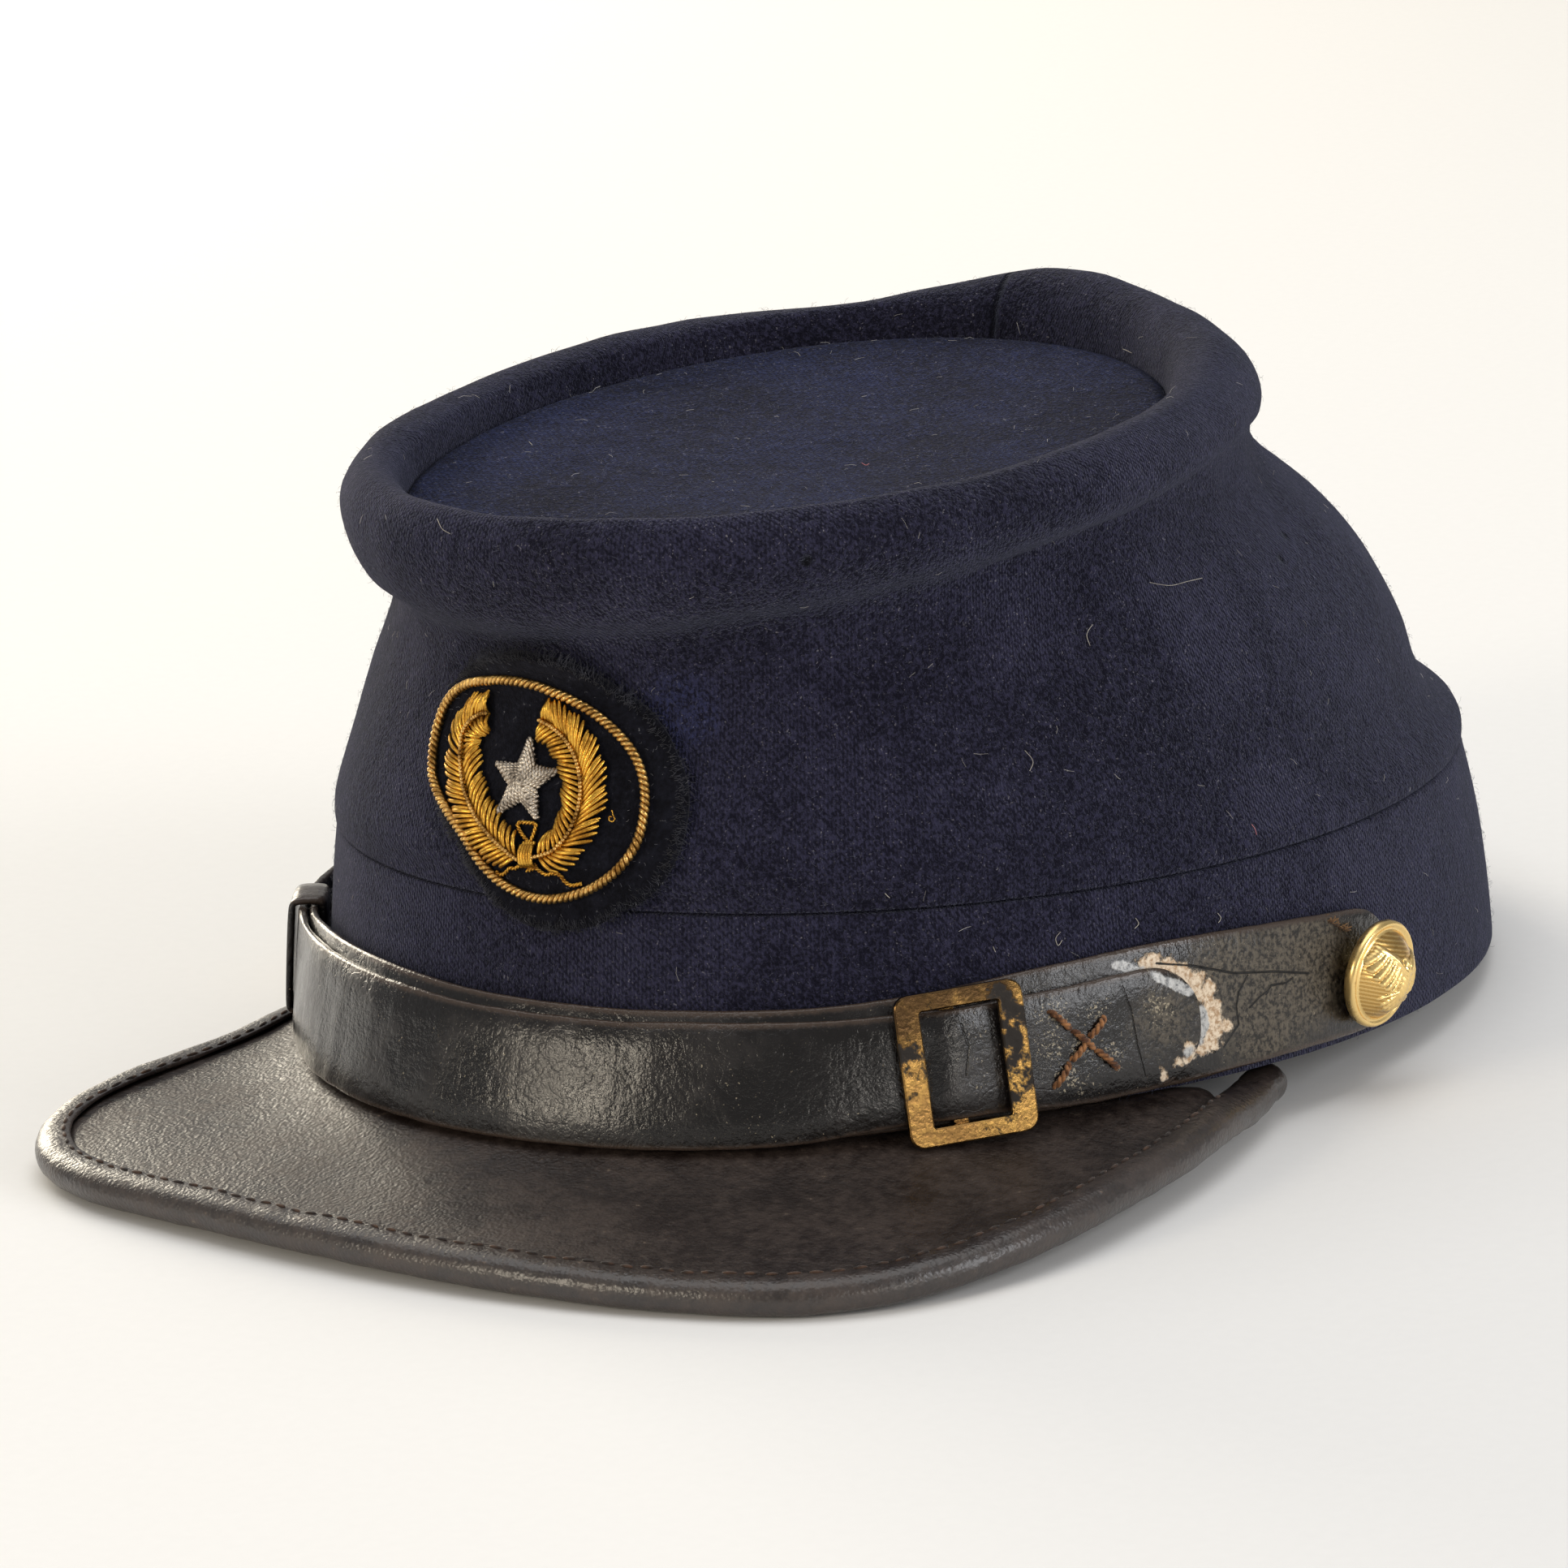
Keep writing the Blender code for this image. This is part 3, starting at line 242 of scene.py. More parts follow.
def wool_cloth(name, cloth, weave, lift, dust, sheen=0.22, nap=None, holes=(), blue=None, seams=()):
    """Milled wool broadcloth: a fulled twill, so the eye gets soft diagonal ribs under a matt, felted nap.
    Holes are moth nicks, blue is a place where the nap was brushed up and shows its dye, and seams are planes
    (a place on the outside, and a direction round the head) where two edges of the cloth meet."""
    material, tree, shader, place = new_material(name, Roughness=0.95, Sheen_Weight=sheen, Sheen_Roughness=0.42,
                                                 Sheen_Tint="#b9c0dc", Specular_IOR_Level=0.12)
    laid = add_node(tree, "UVMap", {}, uv_map="laid")
    # broad wear is 25 mm across, pills 3 mm, felted pile 0.5 mm, specks of dust and lint less than that
    broad, pills, pile, specks = (
        add_node(tree, "TexNoise", {"Vector": place, "Scale": scale, "Detail": detail, "Roughness": rough,
                                    "Distortion": bent})
        for scale, detail, rough, bent in ((40, 4, 0.5, 0), (330, 3, 0.6, 0), (1500, 2, 0.75, 0.4), (2600, 1, 0.5, 0)))
    # a wave repeats every 0.444 / scale metres on the diagonal and every 0.314 / scale along X
    ribs, yarns = (
        add_node(tree, "TexWave", {"Vector": laid, "Scale": scale, "Distortion": bent, "Detail": 2,
                                   "Detail Scale": 1.5}, "Fac", bands_direction=way)
        for scale, bent, way in ((0.444 / cloth.twill_pitch, 1.6, "DIAGONAL"),
                                 (0.314 / (cloth.twill_pitch * 0.8), 1.2, "X")))
    woven = add_node(tree, "Math", {0: ribs, 1: yarns}, operation="MULTIPLY")
    woven = add_node(tree, "Math", {0: woven, 1: fade(broad, 0.42, 0.62, 0.25)}, operation="MULTIPLY")
    grains = fade(pile, 0.36, 0.66)
    tone = sum_up((broad, 0.55), (pills, 0.42), (grains, 0.46), (woven, 0.85 * weave))
    colour = blend_colours(fade(tone, 0.34 - lift, 1.44 - lift), cloth.wool, nap or cloth.wool_high)
    if blue is not None:
        near = add_node(tree, "VectorMath", {0: place, 1: blue}, "Value", operation="DISTANCE")
        near = fade(sum_up((near, 1.0), (pills, -0.006)), 0.0, 0.004, 0.6, 0.0)
        colour = blend_colours(add_node(tree, "Math", {0: near, 1: grains}, operation="MULTIPLY"), colour, "#30355a")
    caught = add_node(tree, "Math", {0: fade(specks, 0.66, 0.76), 1: fade(pills, 0.35, 0.7)}, operation="MULTIPLY")
    caught = add_node(tree, "Math", {0: caught, 1: dust}, operation="MULTIPLY")
    colour = blend_colours(caught, colour, "#8d8a92")
    relief = sum_up((woven, 0.95 * weave), (grains, 0.45), (pills, 1.0))
    for hole in holes:
        far = add_node(tree, "VectorMath", {0: place, 1: hole}, "Value", operation="DISTANCE")
        eaten = fade(sum_up((far, 1.0), (pile, -0.0018)), -0.0006, 0.0001, 1.0, 0.0)
        colour = blend_colours(eaten, colour, "#06060b")
        relief = sum_up((relief, 1.0), (eaten, -2.5))
    for outside, across in seams:
        off = add_node(tree, "VectorMath", {0: place, 1: outside}, operation="SUBTRACT")
        side = add_node(tree, "VectorMath", {0: off, 1: across}, "Value", operation="DOT_PRODUCT")
        side = sum_up((side, 1.0), (pills, 0.0006), (broad, 0.003))
        side = add_node(tree, "Math", {0: side, 1: 0.0018}, operation="SUBTRACT")
        side = add_node(tree, "Math", {0: side}, operation="ABSOLUTE")
        far = add_node(tree, "VectorMath", {0: off}, "Value", operation="LENGTH")
        sunk = add_node(tree, "Math", {0: fade(side, 0.0001, 0.0008, 1.0, 0.0), 1: fade(far, 0.075, 0.090, 1.0, 0.0)},
                        operation="MULTIPLY")
        # painted shade: besides its bump, the seam's groove is coloured darker than the wool
        colour = blend_colours(sunk, colour, [c * 0.6 for c in cloth.wool])
        relief = sum_up((relief, 1.0), (sunk, -1.6))
    return finish(material, shader, (relief, 0.0006, 0.85), Base_Color=colour)


def badge_felt(name):
    """Black wool felt of the badge: unwoven, so it has a dull matted pile and holds pale dust."""
    material, tree, shader, place = new_material(name, Roughness=1.0, Sheen_Weight=0.1, Sheen_Roughness=0.5,
                                                 Sheen_Tint="#b8b8c8", Specular_IOR_Level=0.1)
    pile = add_node(tree, "TexNoise", {"Vector": place, "Scale": 1500, "Detail": 4, "Roughness": 0.7})
    tufts = add_node(tree, "TexNoise", {"Vector": place, "Scale": 420, "Detail": 3})
    colour = blend_colours(fade(sum_up((pile, 0.6), (tufts, 0.4)), 0.35, 0.72), "#07070c", "#191a23")
    dust = add_node(tree, "Math", {0: fade(pile, 0.62, 0.74), 1: fade(tufts, 0.5, 0.75)}, operation="MULTIPLY")
    return finish(material, shader, (sum_up((pile, 0.8), (tufts, 0.9)), 0.0004, 0.8),
                  Base_Color=blend_colours(dust, colour, "#8f9094"))


def peak_leather(name, colour, nicked, gloss):
    """Blacked harness leather, waxed and rubbed brown: fine pores, dull scuffs and short dry cracks."""
    material, tree, shader, place = new_material(name, Coat_Weight=gloss, Coat_Roughness=0.28)
    # pores stand 0.5 mm apart, rubbed places are 10 mm across, scuffs 1.5 mm
    pores = add_node(tree, "TexVoronoi", {"Vector": place, "Scale": 2000}, feature="SMOOTH_F1")
    wear_and_painted_glints = add_node(tree, "TexNoise", {"Vector": place, "Scale": 95, "Detail": 5, "Roughness": 0.6})
    scuffs = add_node(tree, "TexNoise", {"Vector": place, "Scale": 620, "Detail": 4, "Roughness": 0.65})
    wear = sum_up((wear_and_painted_glints, 0.6), (scuffs, 0.5))
    tone = blend_colours(fade(wear, 0.42, 0.72), colour, "#3b302a")
    tone = blend_colours(fade(scuffs, 0.66, 0.78), tone, "#6d5e4f")
    # dry cracks run along the edge near the wearer's right, 3 to 6 mm long
    near = add_node(tree, "VectorMath", {0: place, 1: nicked}, "Value", operation="DISTANCE")
    turned = add_node(tree, "Mapping", {"Vector": place, "Rotation": (0, 0, 0.55), "Scale": (190, 900, 190)})
    splits = add_node(tree, "TexNoise", {"Vector": turned, "Scale": 1.0, "Detail": 3})
    cracked = add_node(tree, "Math", {0: fade(splits, 0.63, 0.67), 1: fade(near, 0.012, 0.026, 1.0, 0.12)},
                       operation="MULTIPLY")
    relief = sum_up((pores, -0.6), (scuffs, 0.9), (wear_and_painted_glints, 0.6), (cracked, -0.8))
    return finish(material, shader, (relief, 0.0003, 0.45), Base_Color=blend_colours(cracked, tone, "#0b0908"),
                  Roughness=fade(wear, 0.35, 0.75, 0.36, 0.62))


def strap_leather(name, leather, marks):
    """Thin glazed strap leather: a black enamel-like skin that has wrinkled, crazed and flaked to tan.
    Marks gives the balls of the flaked, chalky and dull places and of the painted glints, and the lines of the long
    cracks."""
    material, tree, shader, place = new_material(name, Coat_Roughness=0.15, Specular_IOR_Level=0.35)
    laid = add_node(tree, "UVMap", {}, uv_map="laid")
    rim = add_node(tree, "Attribute", {}, "Fac", attribute_name="rim")
    # wrinkles cross the strap every 1 to 3 mm; the skin has crazed into cells of about 1.5 mm
    across = add_node(tree, "Mapping", {"Vector": laid, "Scale": (620, 110, 1)})
    wrinkles = add_node(tree, "TexNoise", {"Vector": across, "Scale": 1.0, "Detail": 4, "Distortion": 0.6})
    broad, grain, frayed, tops = (
        add_node(tree, "TexNoise", {"Vector": place, "Scale": scale, "Detail": detail, "Roughness": rough})
        for scale, detail, rough in ((75, 4, 0.6), (1500, 3, 0.65), (420, 5, 0.65), (2300, 2, 0.7)))
    sway = add_node(tree, "TexNoise", {"Vector": place, "Scale": 260, "Detail": 2}, 1)
    swayed = add_node(tree, "VectorMath", {0: sway, 1: (0.0035,) * 3, 2: place}, operation="MULTIPLY_ADD")
    cells = add_node(tree, "TexVoronoi", {"Vector": swayed, "Scale": 210}, feature="DISTANCE_TO_EDGE")
    dry = fade(broad, 0.46, 0.62)
    crazed = add_node(tree, "Math", {0: fade(cells, 0.0, 0.035, 1.0, 0.0), 1: dry}, operation="MULTIPLY")
    tone = blend_colours(dry, leather.strap, "#1f1b1a")
    # olive-grey leather that has lost its glaze, and painted highlights: pale glints painted on the tops of the grain
    dull = fade(sum_up((near_spots(place, marks["dull"]), 1.0), (frayed, -0.008)), -0.007, 0.0, 1.0, 0.0)
    tone = blend_colours(dull, tone, blend_colours(fade(grain, 0.36, 0.62), "#1d1a17", "#5c5448"))
    # painted highlight: pale cream specks where light glints on the wrinkled tops of the grain
    wear_and_painted_glints = fade(near_spots(place, marks["wear_and_painted_glints"]), -0.0035, 0.0015, 1.0, 0.0)
    wear_and_painted_glints = fade(sum_up((tops, 1.0), (frayed, 0.35), (wear_and_painted_glints, 0.20)), 0.86, 0.98)
    tone = blend_colours(wear_and_painted_glints, tone, "#a0957f")
    # the cut edges have lost their black and show brown
    tone = blend_colours(fade(sum_up((rim, 1.0), (grain, 0.0006)), 0.0006, 0.0014, 1.0, 0.0), tone, "#40342c")
    # round the end of the stitched tongue the black skin has come off, chalky grey next to the tongue
    bare = fade(sum_up((near_spots(place, marks["flaked"]), 1.0), (frayed, -0.0046)), -0.0025, -0.0019, 1.0, 0.0)
    tone = blend_colours(bare, tone, blend_colours(fade(grain, 0.33, 0.62), leather.bare, "#ead7bd"))
    chalk = fade(sum_up((near_lines(place, marks["chalky"]), 1.0), (frayed, -0.0022)), -0.0006, -0.0002, 1.0, 0.0)
    tone = blend_colours(chalk, tone, blend_colours(fade(grain, 0.3, 0.6), "#6e6f70", "#c3c2bf"))
    split = fade(sum_up((near_lines(place, marks["cracks"]), 1.0), (grain, -0.0003)), -0.0001, 0.00005, 1.0, 0.0)
    rough = sum_up((fade(broad, 0.38, 0.66), 0.20), (bare, 0.3), (dull, 0.25), (grain, 0.12))
    relief = sum_up((wrinkles, 0.16), (broad, 1.3), (grain, 0.26), (crazed, -0.05), (bare, -0.3), (split, -0.8))
    return finish(material, shader, (relief, 0.0006, 0.8), Base_Color=blend_colours(split, tone, "#0c0a09"),
                  Roughness=add_node(tree, "Math", {0: rough, 1: 0.10}, operation="ADD", use_clamp=True),
                  Coat_Weight=fade(sum_up((bare, 1.0), (dull, 0.8)), 0.0, 1.0, 0.45, 0.05))


def tarnished_brass(name, colour, damp, browned):
    """Cast and filed brass, handled bright on its high places and gone brown-black where damp sat."""
    material, tree, shader, place = new_material(name)
    blots, pits, drift = (
        add_node(tree, "TexNoise", {"Vector": place, "Scale": scale, "Detail": detail, "Roughness": rough})
        for scale, detail, rough in ((320, 5, 0.62), (1500, 2, 0.5), (90, 1, 0.5)))
    wet = fade(near_spots(place, damp), -0.002, 0.006, 1.0, 0.0)
    dark = fade(sum_up((blots, 0.85), (pits, 0.2), (drift, 0.1), (wet, 0.16)), 0.67, 0.76)
    tone = blend_colours(fade(sum_up((pits, 0.4), (drift, 0.6)), 0.38, 0.62), colour, "#aa874c")
    brown = fade(sum_up((near_spots(place, browned), 1.0), (blots, -0.004)), -0.003, 0.002, 0.95, 0.0)
    tone = blend_colours(dark, blend_colours(brown, tone, "#392b1d"), "#1c140d")
    return finish(material, shader, (sum_up((dark, -0.5), (pits, 0.6)), 0.00012, 0.6), Base_Color=tone,
                  Metallic=fade(dark, 0.1, 0.9, 1.0, 0.25),
                  Roughness=sum_up((dark, 0.3), (pits, 0.15), (blots, 0.4)))


def gilt_brass(name, colour):
    """Fire-gilt stamped brass: bright warm relief, with painted shade that browns the hollows."""
    material, tree, shader, place = new_material(name, Metallic=1.0)
    depth = add_node(tree, "Attribute", {}, "Fac", attribute_name="relief")
    haze = add_node(tree, "TexNoise", {"Vector": place, "Scale": 500, "Detail": 4})
    # painted shade: the low field and the hollows of the stamping are browner, the raised bird brighter
    tone = blend_colours(fade(depth, 0.0, 0.6), "#b98d48", colour)
    return finish(material, shader, Base_Color=blend_colours(fade(haze, 0.6, 0.8), tone, "#b08848"),
                  Roughness=fade(haze, 0.3, 0.7, 0.2, 0.38))


def metal_thread(name, colour, dull, roughness):
    """Bullion: fine metal wire coiled on a core, so each thread glints along its top and is dull between."""
    material, tree, shader, place = new_material(name, Metallic=1.0)
    patch = add_node(tree, "TexNoise", {"Vector": place, "Scale": 450, "Detail": 3})
    wire = add_node(tree, "TexNoise", {"Vector": place, "Scale": 4200, "Detail": 2})
    tone = blend_colours(fade(sum_up((patch, 0.7), (wire, 0.3)), 0.42, 0.66), colour, dull)
    return finish(material, shader, (wire, 0.00008, 0.6), Base_Color=tone,
                  Roughness=fade(patch, 0.3, 0.7, roughness, roughness + 0.2))


def plain_fibre(name, low, high, roughness=0.85, scale=300.0):
    """Dyed or waxed fibre too fine to show its twist: only its colour drifts along it."""
    material, tree, shader, place = new_material(name, Roughness=roughness, Sheen_Weight=0.2, Specular_IOR_Level=0.2)
    drift = add_node(tree, "TexNoise", {"Vector": place, "Scale": scale, "Detail": 3})
    return finish(material, shader, Base_Color=blend_colours(fade(drift, 0.35, 0.65), low, high))


def cap_place(x, y, z):
    """From the cap's own frame to the rest frame."""
    return Vector((x, y * LEAN_COS + z * LEAN_SIN + REST_Y, z * LEAN_COS - y * LEAN_SIN + REST_Z))


def cap_turn(x, y, z):
    return Vector((x, y * LEAN_COS + z * LEAN_SIN, z * LEAN_COS - y * LEAN_SIN))


def cap_coordinates(point):
    """From the rest frame back to the cap's own frame."""
    y, z = point.y - REST_Y, point.z - REST_Z
    return Vector((point.x, y * LEAN_COS - z * LEAN_SIN, y * LEAN_SIN + z * LEAN_COS))


def new_piece(name, bm):
    """Make a mesh object of a bmesh, with smooth faces."""
    for face in bm.faces:
        face.smooth = True
    mesh = bpy.data.meshes.new(name)
    bm.to_mesh(mesh)
    bm.free()
    for extra in ("custom_normal", "sharp_edge", "sharp_face"):
        if extra in mesh.attributes:
            mesh.attributes.remove(mesh.attributes[extra])
    mesh.materials.clear()
    piece = bpy.data.objects.new(name, mesh)
    bpy.context.scene.collection.objects.link(piece)
    return piece


def smooth_copy(node, name, levels, crease=0.0, sharp=50.0):
    """A subdivided copy of a CAD node: corners welded, facets paired, edges held by a crease, then applied."""
    bm = bmesh.new()
    bm.from_mesh(frame["nodes"][node].data)
    bmesh.ops.remove_doubles(bm, verts=bm.verts[:], dist=WELD)
    bmesh.ops.join_triangles(bm, faces=bm.faces[:], cmp_seam=False, cmp_sharp=False, cmp_uvs=False,
                             cmp_vcols=False, cmp_materials=False, angle_face_threshold=math.radians(50),
                             angle_shape_threshold=math.radians(60))
    held = bm.edges.layers.float.get("crease_edge") or bm.edges.layers.float.new("crease_edge")
    for edge in bm.edges:
        edge.smooth = True
        if edge.calc_face_angle(0.0) > math.radians(sharp):
            edge[held] = crease
    piece = new_piece(name, bm)
    divide = piece.modifiers.new("divide", "SUBSURF")
    divide.levels = divide.render_levels = levels
    apply_modifiers(piece)
    return piece


def apply_modifiers(piece):
    graph = bpy.context.evaluated_depsgraph_get()
    graph.update()
    mesh = bpy.data.meshes.new_from_object(piece.evaluated_get(graph))
    mesh.name = piece.name
    piece.modifiers.clear()
    piece.data = mesh


def push_out(piece, amount):
    """Move each vertex along its normal by amount(point, normal), in metres."""
    mesh = piece.data
    moved = [v.co + v.normal * amount(v.co, v.normal) for v in mesh.vertices]
    for vert, place in zip(mesh.vertices, moved):
        vert.co = place
    mesh.update()


def wave_noise(point, size, seed=0.0):
    """Smooth noise from -1 to 1 whose features are about size metres across."""
    return noise.noise(point / size + Vector((seed, seed * 1.7, -seed)))


def smooth_share(share):
    """A share held between 0 and 1, with a smooth start and end."""
    share = min(max(share, 0.0), 1.0)
    return share * share * (3 - 2 * share)


def around(turn, reach=1.0):
    """A flat vector at an angle."""
    return Vector((math.cos(turn), math.sin(turn))) * reach


def face_way(bm, axis, sign):
    """Turn a sheet's faces so that they look along an axis, or against it."""
    bmesh.ops.recalc_face_normals(bm, faces=bm.faces[:])
    if sum(f.normal[axis] for f in bm.faces) * sign < 0:
        bmesh.ops.reverse_faces(bm, faces=bm.faces[:])


def lay_pattern(piece, rule):
    """Give the piece a UV map in metres that follows its surface, for the weave or grain."""
    mesh = piece.data
    layer = mesh.uv_layers.get("laid") or mesh.uv_layers.new(name="laid")
    for face in mesh.polygons:
        middle = cap_coordinates(face.center)
        for corner in face.loop_indices:
            point = cap_coordinates(mesh.vertices[mesh.loops[corner].vertex_index].co)
            layer.data[corner].uv = rule(point, middle)


def round_cap(point, middle):
    """Unrolled round the head: arc length from the back seam, and height up and over the rim."""
    turn, near = (math.atan2(p.x, -(p.y + 0.012)) % (2 * math.pi) for p in (point, middle))
    turn += 2 * math.pi * round((near - turn) / (2 * math.pi))
    flat = Vector((point.x / CROWN_HALF[0], (point.y - CROWN_MIDDLE_Y) / CROWN_HALF[1]))
    inward = max(0.0, 1 - flat.length) * 0.068 * smooth_share((point.z - CROWN_WIDEST + 0.009) / 0.012)
    return turn * HEAD_RADIUS, point.z + inward


def flat_cap(point, middle):
    """Seen from above."""
    return point.x, point.y


def dress(piece, material, slot, *nodes):
    """Give a piece its finish and its ride, and let it stand for its CAD nodes. The slot is not used."""
    piece.data.materials.clear()
    piece.data.materials.append(material)
    if nodes:
        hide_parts(*nodes)
    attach(piece, "root")
    return piece


def surface_of(*pieces):
    """The pieces' shown surfaces, to find places on."""
    graph = bpy.context.evaluated_depsgraph_get()
    graph.update()
    bm = bmesh.new()
    for piece in pieces:
        bm.from_object(piece, graph)
    tree = BVHTree.FromBMesh(bm)
    bm.free()
    return tree


def on_picture(surface, px, py, lift=0.0):
    """The place on a surface under a pixel of the 1932 pixel picture, lifted square off it, and its normal."""
    middle = PICTURE_SIDE / 2
    ray = CAMERA_RIGHT * (px - middle) + CAMERA_UP * (middle - py) - CAMERA_BACK * PICTURE_REACH
    place, normal = surface.ray_cast(CAMERA_AT, ray.normalized())[:2]
    if place is None:
        raise RuntimeError(f"nothing under picture place {px}, {py}")
    return place + normal * lift, normal


def all_on_picture(surface, pixels, lift=0.0):
    return [on_picture(surface, px, py, lift)[0] for px, py in pixels]


def smooth_path(points, count, closed=False):
    """Evenly spaced points on a smooth curve through the given ones."""
    n = len(points)
    fine = []
    spans = n if closed else n - 1
    for i in range(spans):
        if closed:
            a, b, c, d = (points[(i + k - 1) % n] for k in range(4))
        else:
            a, b, c, d = (points[min(max(i + k - 1, 0), n - 1)] for k in range(4))
        for step in range(16):
            t = step / 16
            fine.append(b + (c - a) * (t / 2) + (a * 2 - b * 5 + c * 4 - d) * (t * t / 2)
                        + (b * 3 - a - c * 3 + d) * (t ** 3 / 2))
    fine.append((points[0] if closed else points[-1]).copy())
    lengths = [0.0]
    for a, b in zip(fine, fine[1:]):
        lengths.append(lengths[-1] + (b - a).length)
    total, place, out = lengths[-1], 0, []
    for k in range(count):
        want = total * k / (count if closed else count - 1)
        while place < len(fine) - 2 and lengths[place + 1] < want:
            place += 1
        span = lengths[place + 1] - lengths[place] or 1.0
        out.append(fine[place].lerp(fine[place + 1], min((want - lengths[place]) / span, 1.0)))
    return out


def thread_piece(name, paths, radius, closed=False, roundness=1, radii=None):
    """Many round threads as one curve object: paths are lists of points, radii their taper along each."""
    data = bpy.data.curves.new(name, "CURVE")
    data.dimensions = "3D"
    data.bevel_depth = radius
    data.bevel_resolution = roundness
    data.use_fill_caps = not closed
    for path in paths:
        spline = data.splines.new("POLY")
        spline.points.add(len(path) - 1)
        spline.points.foreach_set("co", [c for p in path for c in (*p, 1.0)])
        if radii:
            spline.points.foreach_set("radius", [radii[min(i * len(radii) // len(path), len(radii) - 1)]
                                                 for i in range(len(path))])
        spline.use_cyclic_u = closed
        spline.use_smooth = True
    piece = bpy.data.objects.new(name, data)
    bpy.context.scene.collection.objects.link(piece)
    return piece


def twist(path, normals, strands, offset, pitch, closed=False, steps=9):
    """The strands of a laid cord along a path: helices that turn once per pitch."""
    length = sum((b - a).length for a, b in zip(path, path[1:]))
    if closed:
        length += (path[0] - path[-1]).length
    turns = max(1, round(length / pitch)) if closed else length / pitch
    count = max(6, int(turns * steps))
    places = smooth_path(path, count, closed)
    outs = smooth_path(normals, count, closed)
    result = []
    for strand in range(strands):
        helix = []
        for i, (place, out) in enumerate(zip(places, outs)):
            ahead = places[(i + 1) % count] if closed or i + 1 < count else place
            behind = places[i - 1] if closed or i else place
            along = (ahead - behind).normalized()
            side = along.cross(out).normalized()
            up = side.cross(along)
            angle = 2 * math.pi * (turns * i / (count if closed else count - 1) + strand / strands)
            helix.append(place + side * math.cos(angle) * offset + up * math.sin(angle) * offset)
        result.append(helix)
    return result


def loose_fibres(piece, count, length, lift, seed, keep=None):
    """Bent fibres scattered evenly over a mesh: each a path of three points rooted in the surface."""
    rng = random.Random(seed)
    mesh = piece.data
    faces = [f for f in mesh.polygons if keep is None or keep(f.center, f.normal)]
    picked = rng.choices(faces, weights=[f.area for f in faces], k=count)
    paths = []
    for face in picked:
        corners = [mesh.vertices[i].co for i in face.vertices]
        shares = [rng.random() + 0.02 for _ in corners]
        root = sum((c * s for c, s in zip(corners, shares)), Vector()) / sum(shares)
        along = face.normal.cross(Vector((rng.uniform(-1, 1), rng.uniform(-1, 1), rng.uniform(-1, 1))))
        if along.length < 0.01:
            continue
        along.normalize()
        aside = face.normal.cross(along) * rng.uniform(-0.5, 0.5)
        reach = length * rng.uniform(0.35, 1.0)
        high = lift * rng.uniform(0.2, 1.0) ** 2
        paths.append([root - face.normal * 0.0001,
                      root + along * reach * 0.5 + aside * reach * 0.25 + face.normal * high,
                      root + along * reach + aside * reach + face.normal * high * rng.uniform(0.3, 1.5)])
    return paths


def outside_of_cap(point, normal):
    """True for the outer faces of the walls and the rim, not for the hollow inside."""
    place = cap_coordinates(point)
    out = Vector((place.x, place.y + 0.02, 0)).normalized()
    turned = cap_coordinates(point + normal) - place
    return turned.dot(out) > 0.15 or (turned.z > 0.2 and place.z > 0.05)


def spun_disc(rings, steps):
    """A flat disc of radius 1 with its middle welded, spun from one radius."""
    bm = bmesh.new()
    spine = [bm.verts.new((0, -k / rings, 0)) for k in range(rings + 1)]
    for a, b in zip(spine, spine[1:]):
        bm.edges.new((a, b))
    bmesh.ops.spin(bm, geom=bm.verts[:] + bm.edges[:], axis=(0, 0, 1), cent=(0, 0, 0), angle=2 * math.pi,
                   steps=steps, use_merge=True)
    bmesh.ops.remove_doubles(bm, verts=bm.verts[:], dist=0.0001)
    return bm


def thicken(piece, thickness):
    """Give a sheet its thickness, behind its shown side."""
    thick = piece.modifiers.new("thick", "SOLIDIFY")
    thick.thickness = thickness
    thick.offset = -1
    apply_modifiers(piece)
    return piece


